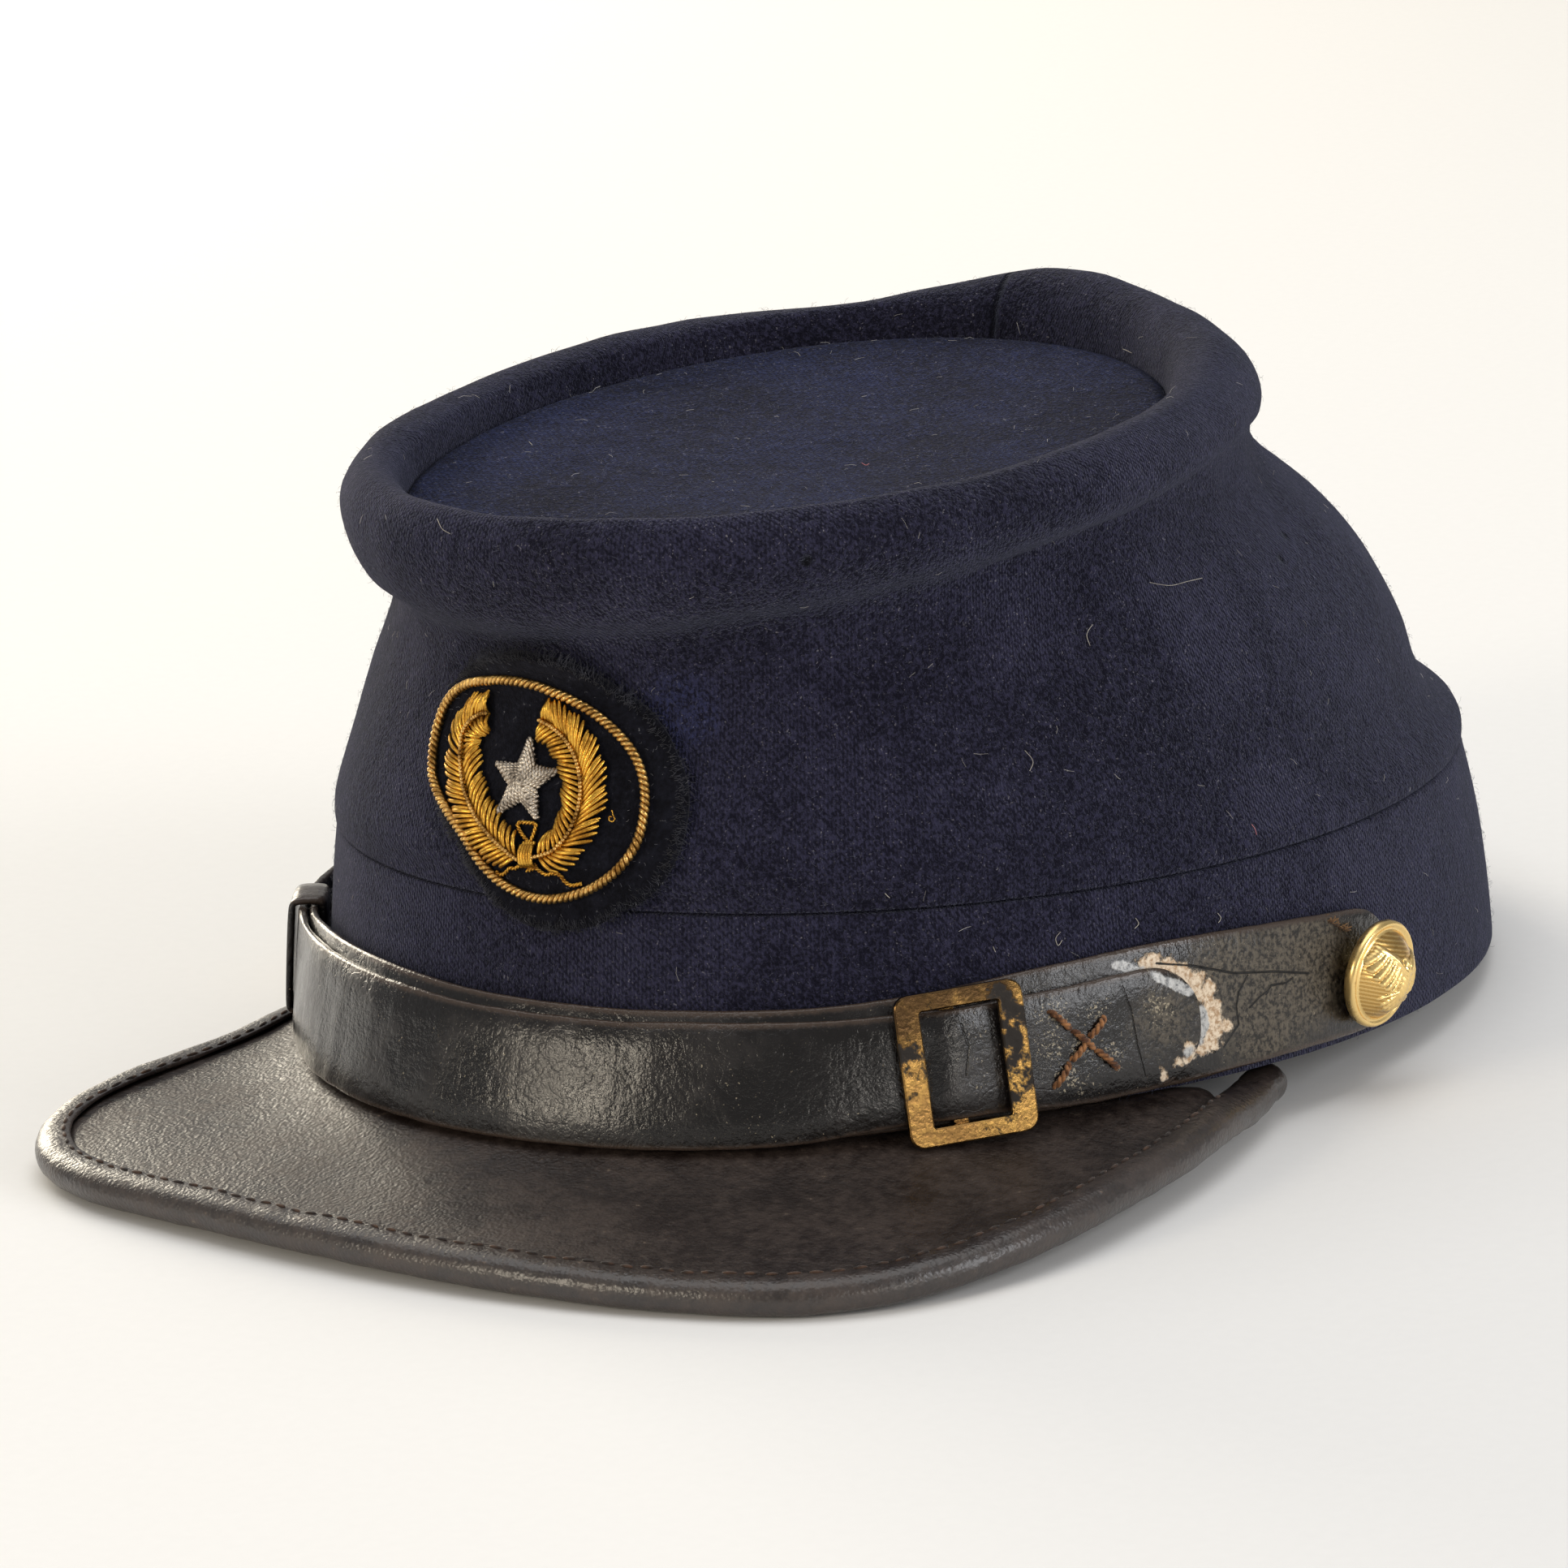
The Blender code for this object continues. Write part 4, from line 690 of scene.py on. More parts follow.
class FORAGECAP_OT_wool(bpy.types.Operator):
    """Sew the wool crown side, crown disc and headband"""
    bl_idname = "forage_cap.wool"
    bl_label = "Wool crown and band"

    def execute(self, context):
        cloth = context.scene.forage_cap.cloth
        crown = smooth_copy("crown_side", "crown_side_wool", 2, 0.95)

        def slack(point, normal):
            place = cap_coordinates(point)
            free = min(max((place.z - 0.034) / 0.012, 0.0), 1.0)
            return free * (0.00045 * wave_noise(place, 0.022, 3.0) + 0.00022 * wave_noise(place, 0.008, 9.0))
        push_out(crown, slack)
        lay_pattern(crown, round_cap)
        tree = surface_of(crown)
        holes = all_on_picture(tree, ((1583, 660), (1578, 689), (994, 691)))
        blue = on_picture(tree, 838, 880)[0]
        # the back seam runs up the band and the crown's side, a little off the middle
        across = cap_turn(math.cos(BACK_SEAM), math.sin(BACK_SEAM), 0)
        seams = [(cap_place(0.090 * math.sin(BACK_SEAM), -0.090 * math.cos(BACK_SEAM), 0.045), across)]
        dress(crown, wool_cloth("navy_wool_broadcloth", cloth, 0.55, -0.02, 0.6, 0.2, None, holes, blue, seams),
              "navy_wool", "crown_side")

        band = smooth_copy("band", "band_wool", 3, 0.95)
        self.tuck(band)
        push_out(band, lambda point, normal: 0.0001 * wave_noise(point, 0.010, 5.0))
        lay_pattern(band, round_cap)
        dress(band, wool_cloth("navy_wool_broadcloth_band", cloth, 0.9, 0.03, 0.5, seams=seams), "navy_wool", "band")

        disc = self.disc()
        lay_pattern(disc, flat_cap)
        # the top has kept more of its blue
        dress(disc, wool_cloth("navy_wool_broadcloth_top", cloth, 0.35, -0.08, 1.0, 0.08, "#343c64"), "navy_wool",
              "crown_disc")
        return {"FINISHED"}

    def tuck(self, band):
        """Raise the inside of the band's rim behind the crown's hem, so that no light comes through the seam."""
        up = cap_turn(0, 0, 1)
        rim = [vert for vert in band.data.vertices if vert.normal.dot(up) > 0.3]
        inner = [vert for vert in rim if vert.normal.dot(cap_turn(vert.co.x, vert.co.y, 0).normalized()) < -0.3]
        edge = KDTree(len(inner))
        for index, vert in enumerate(inner):
            edge.insert(vert.co, index)
        edge.balance()
        shares = [smooth_share(1 - edge.find(vert.co)[2] / RIM_TUCK_WIDTH) for vert in rim]
        for vert, share in zip(rim, shares):
            vert.co += up * RIM_TUCK_HEIGHT * share
        band.data.update()

    def disc(self):
        """The top: a flat disc moved onto the sunk oval, then given its thickness."""
        bm = spun_disc(34, 128)
        heights = (0.0764, 0.0824, 0.0884, 0.0824)
        middle = (heights[0] + heights[2]) / 2
        for vert in bm.verts:
            x, y = vert.co.x, vert.co.y
            part = min(math.hypot(x, y), 1.0)
            slope = (heights[2] - heights[0]) / 2 * y
            point = Vector((0.05055 * x, -0.0307 + 0.06235 * y, 0))
            free = min((1 - part) / 0.12, 1.0)
            ripple = 0.00055 * wave_noise(point, 0.026, 2.0) + 0.00022 * wave_noise(point, 0.010, 7.0)
            tuck = -0.0010 * max(0.0, (part - 0.93) / 0.07) ** 2
            height = middle + slope - 0.0012 * (1 - part ** 2) + free * ripple + tuck
            vert.co = cap_place(point.x, point.y, height)
        face_way(bm, 2, 1)
        return thicken(new_piece("crown_disc_wool", bm), 0.0020)


class FORAGECAP_OT_nap(bpy.types.Operator):
    """Raise the loose nap of the wool and scatter its lint"""
    bl_idname = "forage_cap.nap"
    bl_label = "Nap and lint"

    def execute(self, context):
        cloth = context.scene.forage_cap.cloth
        objects = bpy.data.objects
        fibre = plain_fibre("wool_fibre_navy", "#24273c", "#5a5c6c")
        pale = plain_fibre("linen_lint", "#8f8b86", "#d6d2cc")
        share = 1.0
        jobs = (("crown_side_wool", 1.0, 11), ("band_wool", 0.45, 12), ("crown_disc_wool", 0.42, 13))
        strays = []
        for name, part, seed in jobs:
            count = int(cloth.nap_count * part * share)
            paths = loose_fibres(objects[name], count, cloth.nap_length, cloth.nap_length * 0.55, seed,
                                 outside_of_cap)
            dress(thread_piece(name + "_nap", paths, 0.000014, roundness=0), fibre, "navy_wool")
            strays += loose_fibres(objects[name], int(170 * part), 0.0021, 0.0004, seed + 20, outside_of_cap)
        dress(thread_piece("wool_lint", strays, 0.000020, roundness=0), pale, "navy_wool")
        self.threads()
        return {"FINISHED"}

    def threads(self):
        """The few long loose threads that lie on the cloth."""
        objects = bpy.data.objects
        cloth = surface_of(objects["crown_side_wool"], objects["crown_disc_wool"], objects["band_wool"])
        pale = (((1415, 718), (1440, 722), (1462, 717), (1480, 713)), ((1385, 430), (1390, 432), (1396, 435)),
                ((1262, 925), (1272, 938), (1268, 950)), ((1090, 1100), (1093, 1103), (1096, 1106)),
                ((652, 546), (656, 550)), ((540, 640), (546, 652), (556, 658)),
                ((1345, 770), (1338, 782), (1342, 796)), ((1306, 1148), (1300, 1156), (1303, 1165), (1308, 1158)),
                ((1398, 1131), (1402, 1138), (1397, 1144)), ((1223, 1166), (1226, 1173)),
                ((1499, 1125), (1503, 1131), (1500, 1137)))
        red = (((1541, 1016), (1545, 1022), (1547, 1029)), ((1062, 572), (1067, 575), (1071, 573)))
        for name, runs, low, high in (("loose_threads", pale, "#98928a", "#c4beb2"),
                                      ("red_fibres", red, "#a2454a", "#d08a8c")):
            paths = [smooth_path(all_on_picture(cloth, run, 0.00022), 14) for run in runs]
            dress(thread_piece(name, paths, 0.00004), plain_fibre("cotton_" + name, low, high), "navy_wool")


class FORAGECAP_OT_peak(bpy.types.Operator):
    """Cut the leather peak, roll its binding and stitch it"""
    bl_idname = "forage_cap.peak"
    bl_label = "Peak and binding"

    def execute(self, context):
        leather = context.scene.forage_cap.leather
        peak = smooth_copy("peak", "peak_leather", 2, 0.8)
        push_out(peak, lambda point, normal: 0.00018 * wave_noise(point, 0.018, 4.0))
        nicked = on_picture(surface_of(peak), 245, 1345)[0]
        dress(peak, peak_leather("blacked_harness_leather", leather.peak, nicked, 0.22), "peak_leather", "peak")
        binding = smooth_copy("peak_binding", "peak_binding_leather", 2, 0.35, 70)

        def pulled(point, normal):
            place = cap_coordinates(point)
            turn = math.atan2(place.x, -place.y)
            skew = Vector((turn * 0.12, place.z * 0.5, Vector((place.x, place.y)).length * 0.6))
            return 0.00016 * wave_noise(skew, 0.0035, 6.0) + 0.00012 * wave_noise(place, 0.012, 1.0)
        push_out(binding, pulled)
        dress(binding, peak_leather("rolled_binding_leather", leather.peak, nicked, 0.6), "peak_leather",
              "peak_binding")
        self.stitches(binding, peak, leather.stitch_length)
        return {"FINISHED"}

    def stitches(self, binding, peak, length):
        """A row of waxed stitches just outside the binding's inner edge, each a small dipped capsule."""
        top, under = surface_of(binding), surface_of(peak)
        row = []
        down = cap_turn(0, 0, -1)
        for step in range(-63, 64):
            phi = math.radians(step)
            edge, r = None, 0.175
            while r > 0.085:
                start = cap_place(r * math.sin(phi), -r * math.cos(phi), 0.06)
                hit = top.ray_cast(start, down)
                if hit[0] is not None and edge is None:
                    edge = r
                if edge is not None and (hit[0] is None or under_hit_first(under, start, down, hit[3])):
                    inner = cap_place((r + 0.0011) * math.sin(phi), -(r + 0.0011) * math.cos(phi), 0.06)
                    place, normal = top.ray_cast(inner, down)[:2]
                    if place is not None:
                        row.append((place, normal))
                    break
                r -= 0.0006 if edge is None else 0.00015
        places = smooth_path([p for p, n in row], 2400)
        total = sum((b - a).length for a, b in zip(places, places[1:]))
        count = int(total / (length + 0.0008))
        bm = bmesh.new()
        rng = random.Random(41)
        tree = surface_of(binding)
        for k in range(count):
            i = int((k + 0.5) * len(places) / count)
            a, b = places[max(i - 8, 0)], places[min(i + 8, len(places) - 1)]
            place, normal = tree.find_nearest(places[i])[:2]
            along = (b - a).normalized()
            side = normal.cross(along).normalized()
            along = (along + side * rng.uniform(-0.12, 0.12)).normalized()
            side = normal.cross(along).normalized()
            turn = Matrix((along, side, normal)).transposed().to_4x4()
            size = Matrix.Diagonal((length / 2 * rng.uniform(0.88, 1.05), 0.00030, 0.00026, 1))
            bmesh.ops.create_uvsphere(bm, u_segments=8, v_segments=6, radius=1.0,
                                      matrix=Matrix.Translation(place + normal * 0.00004) @ turn @ size)
        dress(new_piece("binding_stitches", bm), plain_fibre("waxed_linen_thread", "#1d1410", "#4a3528", 0.6, 500),
              "peak_leather")


def under_hit_first(under, start, down, distance):
    hit = under.ray_cast(start, down)
    return hit[0] is not None and hit[3] < distance - 0.00005


class FORAGECAP_OT_strap(bpy.types.Operator):
    """Lay the chin strap, its keeper and the crossed stitches of its tongue"""
    bl_idname = "forage_cap.strap"
    bl_label = "Chin strap and keeper"

    def execute(self, context):
        leather = context.scene.forage_cap.leather
        outer = smooth_copy("strap_long", "strap_long_leather", 2, 0.85, 40)
        inner = smooth_copy("strap_short", "strap_short_leather", 2, 0.85, 40)
        loop = smooth_copy("keeper", "keeper_leather", 2, 0.6, 40)
        finish = strap_leather("glazed_strap_leather", leather, self.marks(surface_of(outer, inner)))
        for piece, node, amount in ((outer, "strap_long", 0.00022), (inner, "strap_short", 0.00012),
                                    (loop, "keeper", 0.0001)):
            self.mark_rim(piece)
            push_out(piece, lambda point, normal: amount * wave_noise(point, 0.011, 8.0)
                     + amount * 0.5 * wave_noise(Vector((math.atan2(point.x, -point.y) * 0.09, point.z * 0.25, 0)),
                                                 0.0035, 2.0))
            lay_pattern(piece, round_cap)
            dress(piece, finish, "strap_leather", node)
        self.cross(outer)
        self.torn(inner)
        return {"FINISHED"}

    def marks(self, tree):
        """The strap's worn places and its painted glints, measured on the picture: balls with their radius in pixels,
        and lines.
        """
        def balls(*places):
            return [(on_picture(tree, px, py)[0], radius * STRAP_METRES_A_PIXEL) for px, py, radius in places]

        def lines(*runs):
            return [all_on_picture(tree, run) for run in runs]
        return {
            "flaked": balls((1420, 1181, 9), (1408, 1185, 8), (1440, 1193, 11), (1458, 1202, 12), (1474, 1211, 12),
                            (1488, 1222, 12), (1494, 1238, 11), (1498, 1256, 12), (1495, 1274, 14), (1480, 1289, 13),
                            (1467, 1300, 10), (1512, 1262, 8), (1452, 1308, 5), (1432, 1327, 4)),
            "chalky": lines(((1374, 1189), (1400, 1195), (1430, 1206), (1466, 1222)),
                            ((1480, 1246), (1484, 1264), (1479, 1282), (1462, 1298))),
            "dull": balls((1440, 1250, 30), (1520, 1210, 60), (1560, 1250, 60), (1600, 1190, 70)),
            # painted highlights: where light glints on the strap's wrinkles and on its bend over the buckle's bar
            "wear_and_painted_glints": balls((1300, 1245, 26), (1292, 1290, 24), (1335, 1290, 24), (1350, 1250, 22), (1372, 1300, 22),
                            (1320, 1330, 26), (1206, 1275, 10), (1206, 1305, 10), (1209, 1335, 10), (1430, 1240, 24)),
            "cracks": lines(((1425, 1187), (1470, 1190), (1520, 1199), (1570, 1197), (1612, 1199)),
                            ((1540, 1241), (1553, 1227), (1562, 1221), (1566, 1214), (1585, 1211), (1593, 1205)),
                            ((1566, 1214), (1560, 1225)), ((1477, 1285), (1497, 1296)),
                            ((1537, 1202), (1526, 1222), (1523, 1240), (1526, 1262), (1508, 1290)),
                            ((1383, 1216), (1394, 1245), (1401, 1285), (1411, 1326)),
                            ((1184, 1262), (1194, 1290), (1191, 1325))),
        }

    def torn(self, strap):
        """Brown fibres of the strap's torn corner behind the button."""
        tree = surface_of(strap)
        rng = random.Random(9)
        paths = []
        for _ in range(46):
            share = rng.random()
            root, normal = on_picture(tree, 1634 + 26 * share, 1134 + 14 * share, -0.0002)
            way = (CAMERA_RIGHT * rng.uniform(0.1, 1.0) + CAMERA_UP * rng.uniform(-0.2, 1.0)
                   + normal * rng.uniform(-0.1, 0.7)).normalized() * rng.uniform(0.0005, 0.0014)
            bend = Vector([rng.uniform(-0.0003, 0.0003) for _ in range(3)])
            paths.append([root, root + way * 0.5 + bend, root + way])
        dress(thread_piece("torn_corner_fibres", paths, 0.00006),
              plain_fibre("leather_fibre", "#4a3322", "#9a7650", 0.8, 700), "strap_leather")

    def mark_rim(self, piece):
        """Store each vertex's distance from the strap's upper or lower edge, for the worn edges."""
        mesh = piece.data
        spans = {}
        places = []
        for vert in mesh.vertices:
            place = cap_coordinates(vert.co)
            turn = round(math.degrees(math.atan2(place.x, -place.y)) / 2)
            places.append((turn, place.z))
            low, high = spans.get(turn, (1.0, -1.0))
            spans[turn] = (min(low, place.z), max(high, place.z))
        rim = mesh.attributes.new("rim", "FLOAT", "POINT")
        rim.data.foreach_set("value", [min(z - spans[t][0], spans[t][1] - z) for t, z in places])

    def cross(self, strap):
        """The crossed stitches of thick brown thread that hold the tongue."""
        tree = surface_of(strap)
        paths = []
        for x0, y0, x1, y1 in ((1293, 1246, 1318, 1267), (1322, 1270, 1347, 1291), (1351, 1294, 1377, 1316),
                               (1360, 1254, 1343, 1277), (1339, 1282, 1321, 1306), (1317, 1311, 1300, 1339)):
            places, normals = zip(*(on_picture(tree, x0 + (x1 - x0) * share, y0 + (y1 - y0) * share, lift)
                                    for share, lift in ((0.0, -0.0003), (0.12, 0.0003), (0.5, 0.00055),
                                                        (0.88, 0.0003), (1.0, -0.0003))))
            paths += twist(places, normals, 2, 0.00024, 0.0019, steps=10)
        dress(thread_piece("tongue_stitches", paths, 0.00030),
              plain_fibre("waxed_linen_thread_brown", "#4e2f1c", "#a06e44", 0.6, 900), "strap_leather")


class FORAGECAP_OT_buckle(bpy.types.Operator):
    """File and tarnish the brass buckle"""
    bl_idname = "forage_cap.buckle"
    bl_label = "Buckle"

    def execute(self, context):
        bm = bmesh.new()
        bm.from_mesh(frame["nodes"]["buckle"].data)
        bmesh.ops.remove_doubles(bm, verts=bm.verts[:], dist=WELD)
        bmesh.ops.dissolve_limit(bm, angle_limit=math.radians(1), verts=bm.verts[:], edges=bm.edges[:])
        piece = new_piece("buckle_brass", bm)
        soften = piece.modifiers.new("soften", "BEVEL")
        soften.width = 0.00022
        soften.segments = 3
        soften.limit_method = "ANGLE"
        soften.angle_limit = math.radians(25)
        soften.harden_normals = True
        brass = context.scene.forage_cap.metal.brass
        tree = surface_of(piece)
        damp, browned = ([(place, 0.0022) for place in all_on_picture(tree, pixels)] for pixels in (
            ((1243, 1240), (1240, 1275), (1244, 1310), (1250, 1345), (1118, 1305)),
            ((1125, 1226), (1160, 1222), (1195, 1216), (1228, 1212), (1110, 1260))))
        dress(piece, tarnished_brass("worn_cast_brass", brass, damp, browned), "worn_brass", "buckle")
        return {"FINISHED"}


# Raised bird of the buttons: ends, radius and height of each rounded bar, in mm, right half and middle
BIRD_MIDDLE = (((0, -1.7), (0, 1.2), 0.85, 0.42), ((0.05, 1.9), (0.1, 2.1), 0.55, 0.42),
               ((0.45, 2.1), (0.95, 1.9), 0.22, 0.30), ((0, -1.6), (0, -3.7), 0.34, 0.26))
BIRD_HALF = (((0.5, 0.9), (1.6, 2.2), 0.50, 0.36), ((1.6, 2.2), (3.3, 3.0), 0.42, 0.32),
             ((3.2, 3.0), (4.7, 1.5), 0.34, 0.28), ((2.8, 2.7), (4.3, 0.6), 0.34, 0.28),
             ((2.3, 2.4), (3.7, -0.2), 0.34, 0.28), ((1.8, 2.0), (3.0, -0.8), 0.33, 0.27),
             ((1.3, 1.6), (2.3, -1.2), 0.32, 0.26), ((0.9, 1.1), (1.6, -1.4), 0.30, 0.25),
             ((0.2, -1.6), (0.8, -3.6), 0.32, 0.24), ((0.3, -1.5), (1.6, -3.2), 0.30, 0.22),
             ((0.5, -1.4), (1.9, -2.1), 0.24, 0.26), ((1.9, -2.1), (2.6, -2.6), 0.20, 0.22))


def bird_height(x, y):
    """Height in mm of the spread-winged bird at a place on the button's face."""
    best = 0.0
    bars = BIRD_MIDDLE + BIRD_HALF + tuple(((-a[0], a[1]), (-b[0], b[1]), r, h) for a, b, r, h in BIRD_HALF)
    for (ax, ay), (bx, by), radius, height in bars:
        dx, dy = bx - ax, by - ay
        share = min(max(((x - ax) * dx + (y - ay) * dy) / (dx * dx + dy * dy), 0.0), 1.0)
        away = math.hypot(x - ax - dx * share, y - ay - dy * share) / radius
        if away < 1:
            best = max(best, height * math.sqrt(1 - away * away))
    return best


class FORAGECAP_OT_buttons(bpy.types.Operator):
    """Stamp the two domed buttons"""
    bl_idname = "forage_cap.buttons"
    bl_label = "Side buttons"

    # radius and height of the turned outline, in mm from the band side of the cap's button
    outline = ((6.55, 2.12), (6.75, 2.14), (6.95, 2.32), (7.2, 2.42), (7.45, 2.33), (7.62, 2.08), (7.70, 1.7),
               (7.68, 1.25), (7.5, 0.8), (7.1, 0.42), (6.0, 0.05), (1.5, 0.0), (1.5, -2.7), (0.0, -2.7))

    def execute(self, context):
        gilt = gilt_brass("fire_gilt_brass", context.scene.forage_cap.metal.gilt)
        for name, side in (("button_left", 1), ("button_right", -1)):
            piece = self.button(name + "_gilt", side)
            dress(piece, gilt, "gilt_brass", name)
        return {"FINISHED"}

    def button(self, name, side):
        bm = bmesh.new()
        dome = [(6.35 * k / 46, 2.25 + 3.60 * (1 - (k / 46) ** 2.2)) for k in range(47)]
        shape = dome + list(self.outline)
        spine = [bm.verts.new((r, 0, z)) for r, z in shape]
        for a, b in zip(spine, spine[1:]):
            bm.edges.new((a, b))
        bmesh.ops.spin(bm, geom=bm.verts[:] + bm.edges[:], axis=(0, 0, 1), cent=(0, 0, 0), angle=2 * math.pi,
                       steps=224, use_merge=True)
        bmesh.ops.remove_doubles(bm, verts=bm.verts[:], dist=0.0005)
        relief = bm.verts.layers.float.new("relief")
        for vert in bm.verts:
            x, y, z = vert.co
            vert[relief] = 0.9
            if z > 2.2 and math.hypot(x, y) < 6.3:
                raised = 1.6 * bird_height(x / 1.22, y / 1.22)
                # the field's lines are 0.55 mm apart
                line = 0.06 * math.sin(2 * math.pi * y / 0.55)
                fine = 0.03 * math.sin(9.0 * (x * 0.8 + y)) if raised > 0.12 else 0.0
                vert.co.z += max(raised, line if raised == 0 else raised) + fine
                # the relief share sets the gilt's painted shade: low in the field, high on the bird and on the tops of
                # the lines
                vert[relief] = min(1.0, 0.15 + raised * 1.4 + max(line, 0) * 5)
        turn = BUTTON_TURN * side
        half_length, half_width = BUTTON_BAND
        out = Vector((half_length * math.sin(turn), -half_width * math.cos(turn), 0)).normalized()
        place = Vector((half_width * math.sin(turn), -0.0001 - half_length * math.cos(turn), BUTTON_Z))
        place = cap_place(*(place + out * 0.0030))
        up = cap_turn(0, 0, 1)
        # it hangs a little forward on its shank
        out = (cap_turn(*out) - up * 0.12).normalized()
        right = up.cross(out).normalized()
        up = out.cross(right)
        lean = Matrix.Rotation(math.radians(-14 * side), 3, out)
        frame_of = Matrix((lean @ right, lean @ up, out)).transposed().to_4x4()
        bmesh.ops.transform(bm, verts=bm.verts[:],
                            matrix=Matrix.Translation(place) @ frame_of @ Matrix.Scale(0.001, 4))
        bmesh.ops.recalc_face_normals(bm, faces=bm.faces[:])
        return new_piece(name, bm)


def crop(*places):
    """Picture places from places measured on the badge's crop, which is 3.5 times larger."""
    return [(480 + x / 3.5, 780 + y / 3.5) for x, y in places]


BADGE_CORD = crop((430, 195), (520, 192), (620, 210), (720, 248), (820, 300), (900, 352), (970, 412), (1030, 478),
                  (1075, 552), (1100, 630), (1108, 710), (1102, 790), (1085, 870), (1055, 940), (1000, 1010),
                  (930, 1065), (850, 1108), (760, 1136), (680, 1143), (600, 1128), (510, 1082), (440, 1022),
                  (380, 950), (330, 870), (275, 790), (228, 705), (203, 630), (200, 560), (208, 480), (225, 400),
                  (255, 315), (300, 250), (360, 210))
STEM_RIGHT_SIDE = crop((640, 968), (720, 945), (778, 890), (815, 820), (838, 740), (843, 660), (832, 580),
                       (808, 510), (772, 450), (722, 402), (672, 372))
STEM_LEFT_SIDE = crop((575, 975), (508, 928), (442, 862), (392, 790), (357, 700), (341, 610), (338, 520),
                      (347, 440), (378, 382), (418, 350), (450, 343))


class Badge:
    """Places on the badge's cloth, in metres across and up from its middle."""

    def __init__(self, cloth):
        self.patch = self.cloth = cloth

    def half_width(self, z):
        for (z0, w0), (z1, w1) in zip(BADGE_WALL, BADGE_WALL[1:]):
            if z <= z1:
                return w0 + (w1 - w0) * (z - z0) / (z1 - z0)
        return BADGE_WALL[-1][1]

    def flat(self, point):
        place = cap_coordinates(point)
        turn = math.asin(place.x / self.half_width(place.z))
        return Vector(((turn - BADGE_PHI) * BADGE_TURN, place.z - BADGE_Z))

    def over(self, across, up, y=-0.2):
        """The point before a place on the badge, or at another depth."""
        z = BADGE_Z + up
        return cap_place(self.half_width(z) * math.sin(BADGE_PHI + across / BADGE_TURN), y, z)

    def place(self, across, up, lift=0.0):
        """A place on the badge and its normal; past the bed's edge it lies on the wool."""
        start, ahead = self.over(across, up), cap_turn(0, 1, 0)
        place, normal = self.patch.ray_cast(start, ahead)[:2]
        if place is None:
            place, normal = self.cloth.ray_cast(start, ahead)[:2]
        return place + normal * lift, normal

    def depth(self, across, up):
        return cap_coordinates(self.cloth.ray_cast(self.over(across, up), cap_turn(0, 1, 0))[0]).y

    def stiff_place(self, across, up):
        """A place on the stiff patch, which bridges the cloth's dips and the band's hem."""
        bridges = [(self.depth(across, up - d) + self.depth(across, up + d)) / 2 for d in (0, 0.002, 0.004, 0.006)]
        return self.over(across, up, min(bridges) - 0.0013)

    def lay_bed(self):
        """The surface that the patch lies on, drawn wider than the patch, smooth and clear of the wool."""
        bm = spun_disc(26, 96)
        clear = {}
        for vert in bm.verts:
            flat = PATCH_MIDDLE + Vector((PATCH_HALF.x * vert.co.x, PATCH_HALF.y * vert.co.y)) * 1.25
            vert.co = self.stiff_place(*flat)
            clear[vert.index] = cap_coordinates(vert.co).y + 0.0005
        for _ in range(8):
            bmesh.ops.smooth_vert(bm, verts=bm.verts[:], factor=0.5, use_axis_x=False, use_axis_y=True,
                                  use_axis_z=False)
            for vert in bm.verts:
                place = cap_coordinates(vert.co)
                if place.y > clear[vert.index]:
                    vert.co = cap_place(place.x, clear[vert.index], place.z)
        face_way(bm, 1, -1)
        self.patch = BVHTree.FromBMesh(bm)
        bm.free()

    def outline(self, places, count, closed=True):
        flat = [self.flat(on_picture(self.patch, px, py)[0]).to_3d() for px, py in places]
        return smooth_path(flat, count, closed)

    def seen(self, places, count, lift, closed=False):
        """A smooth line through places of the picture, lifted off the badge, with its normals."""
        line = self.outline(places, count, closed)
        lifts = lift if isinstance(lift, (list, tuple)) else [lift] * count
        pairs = [self.place(p.x, p.y, lifts[i * len(lifts) // count]) for i, p in enumerate(line)]
        return [p for p, n in pairs], [n for p, n in pairs]


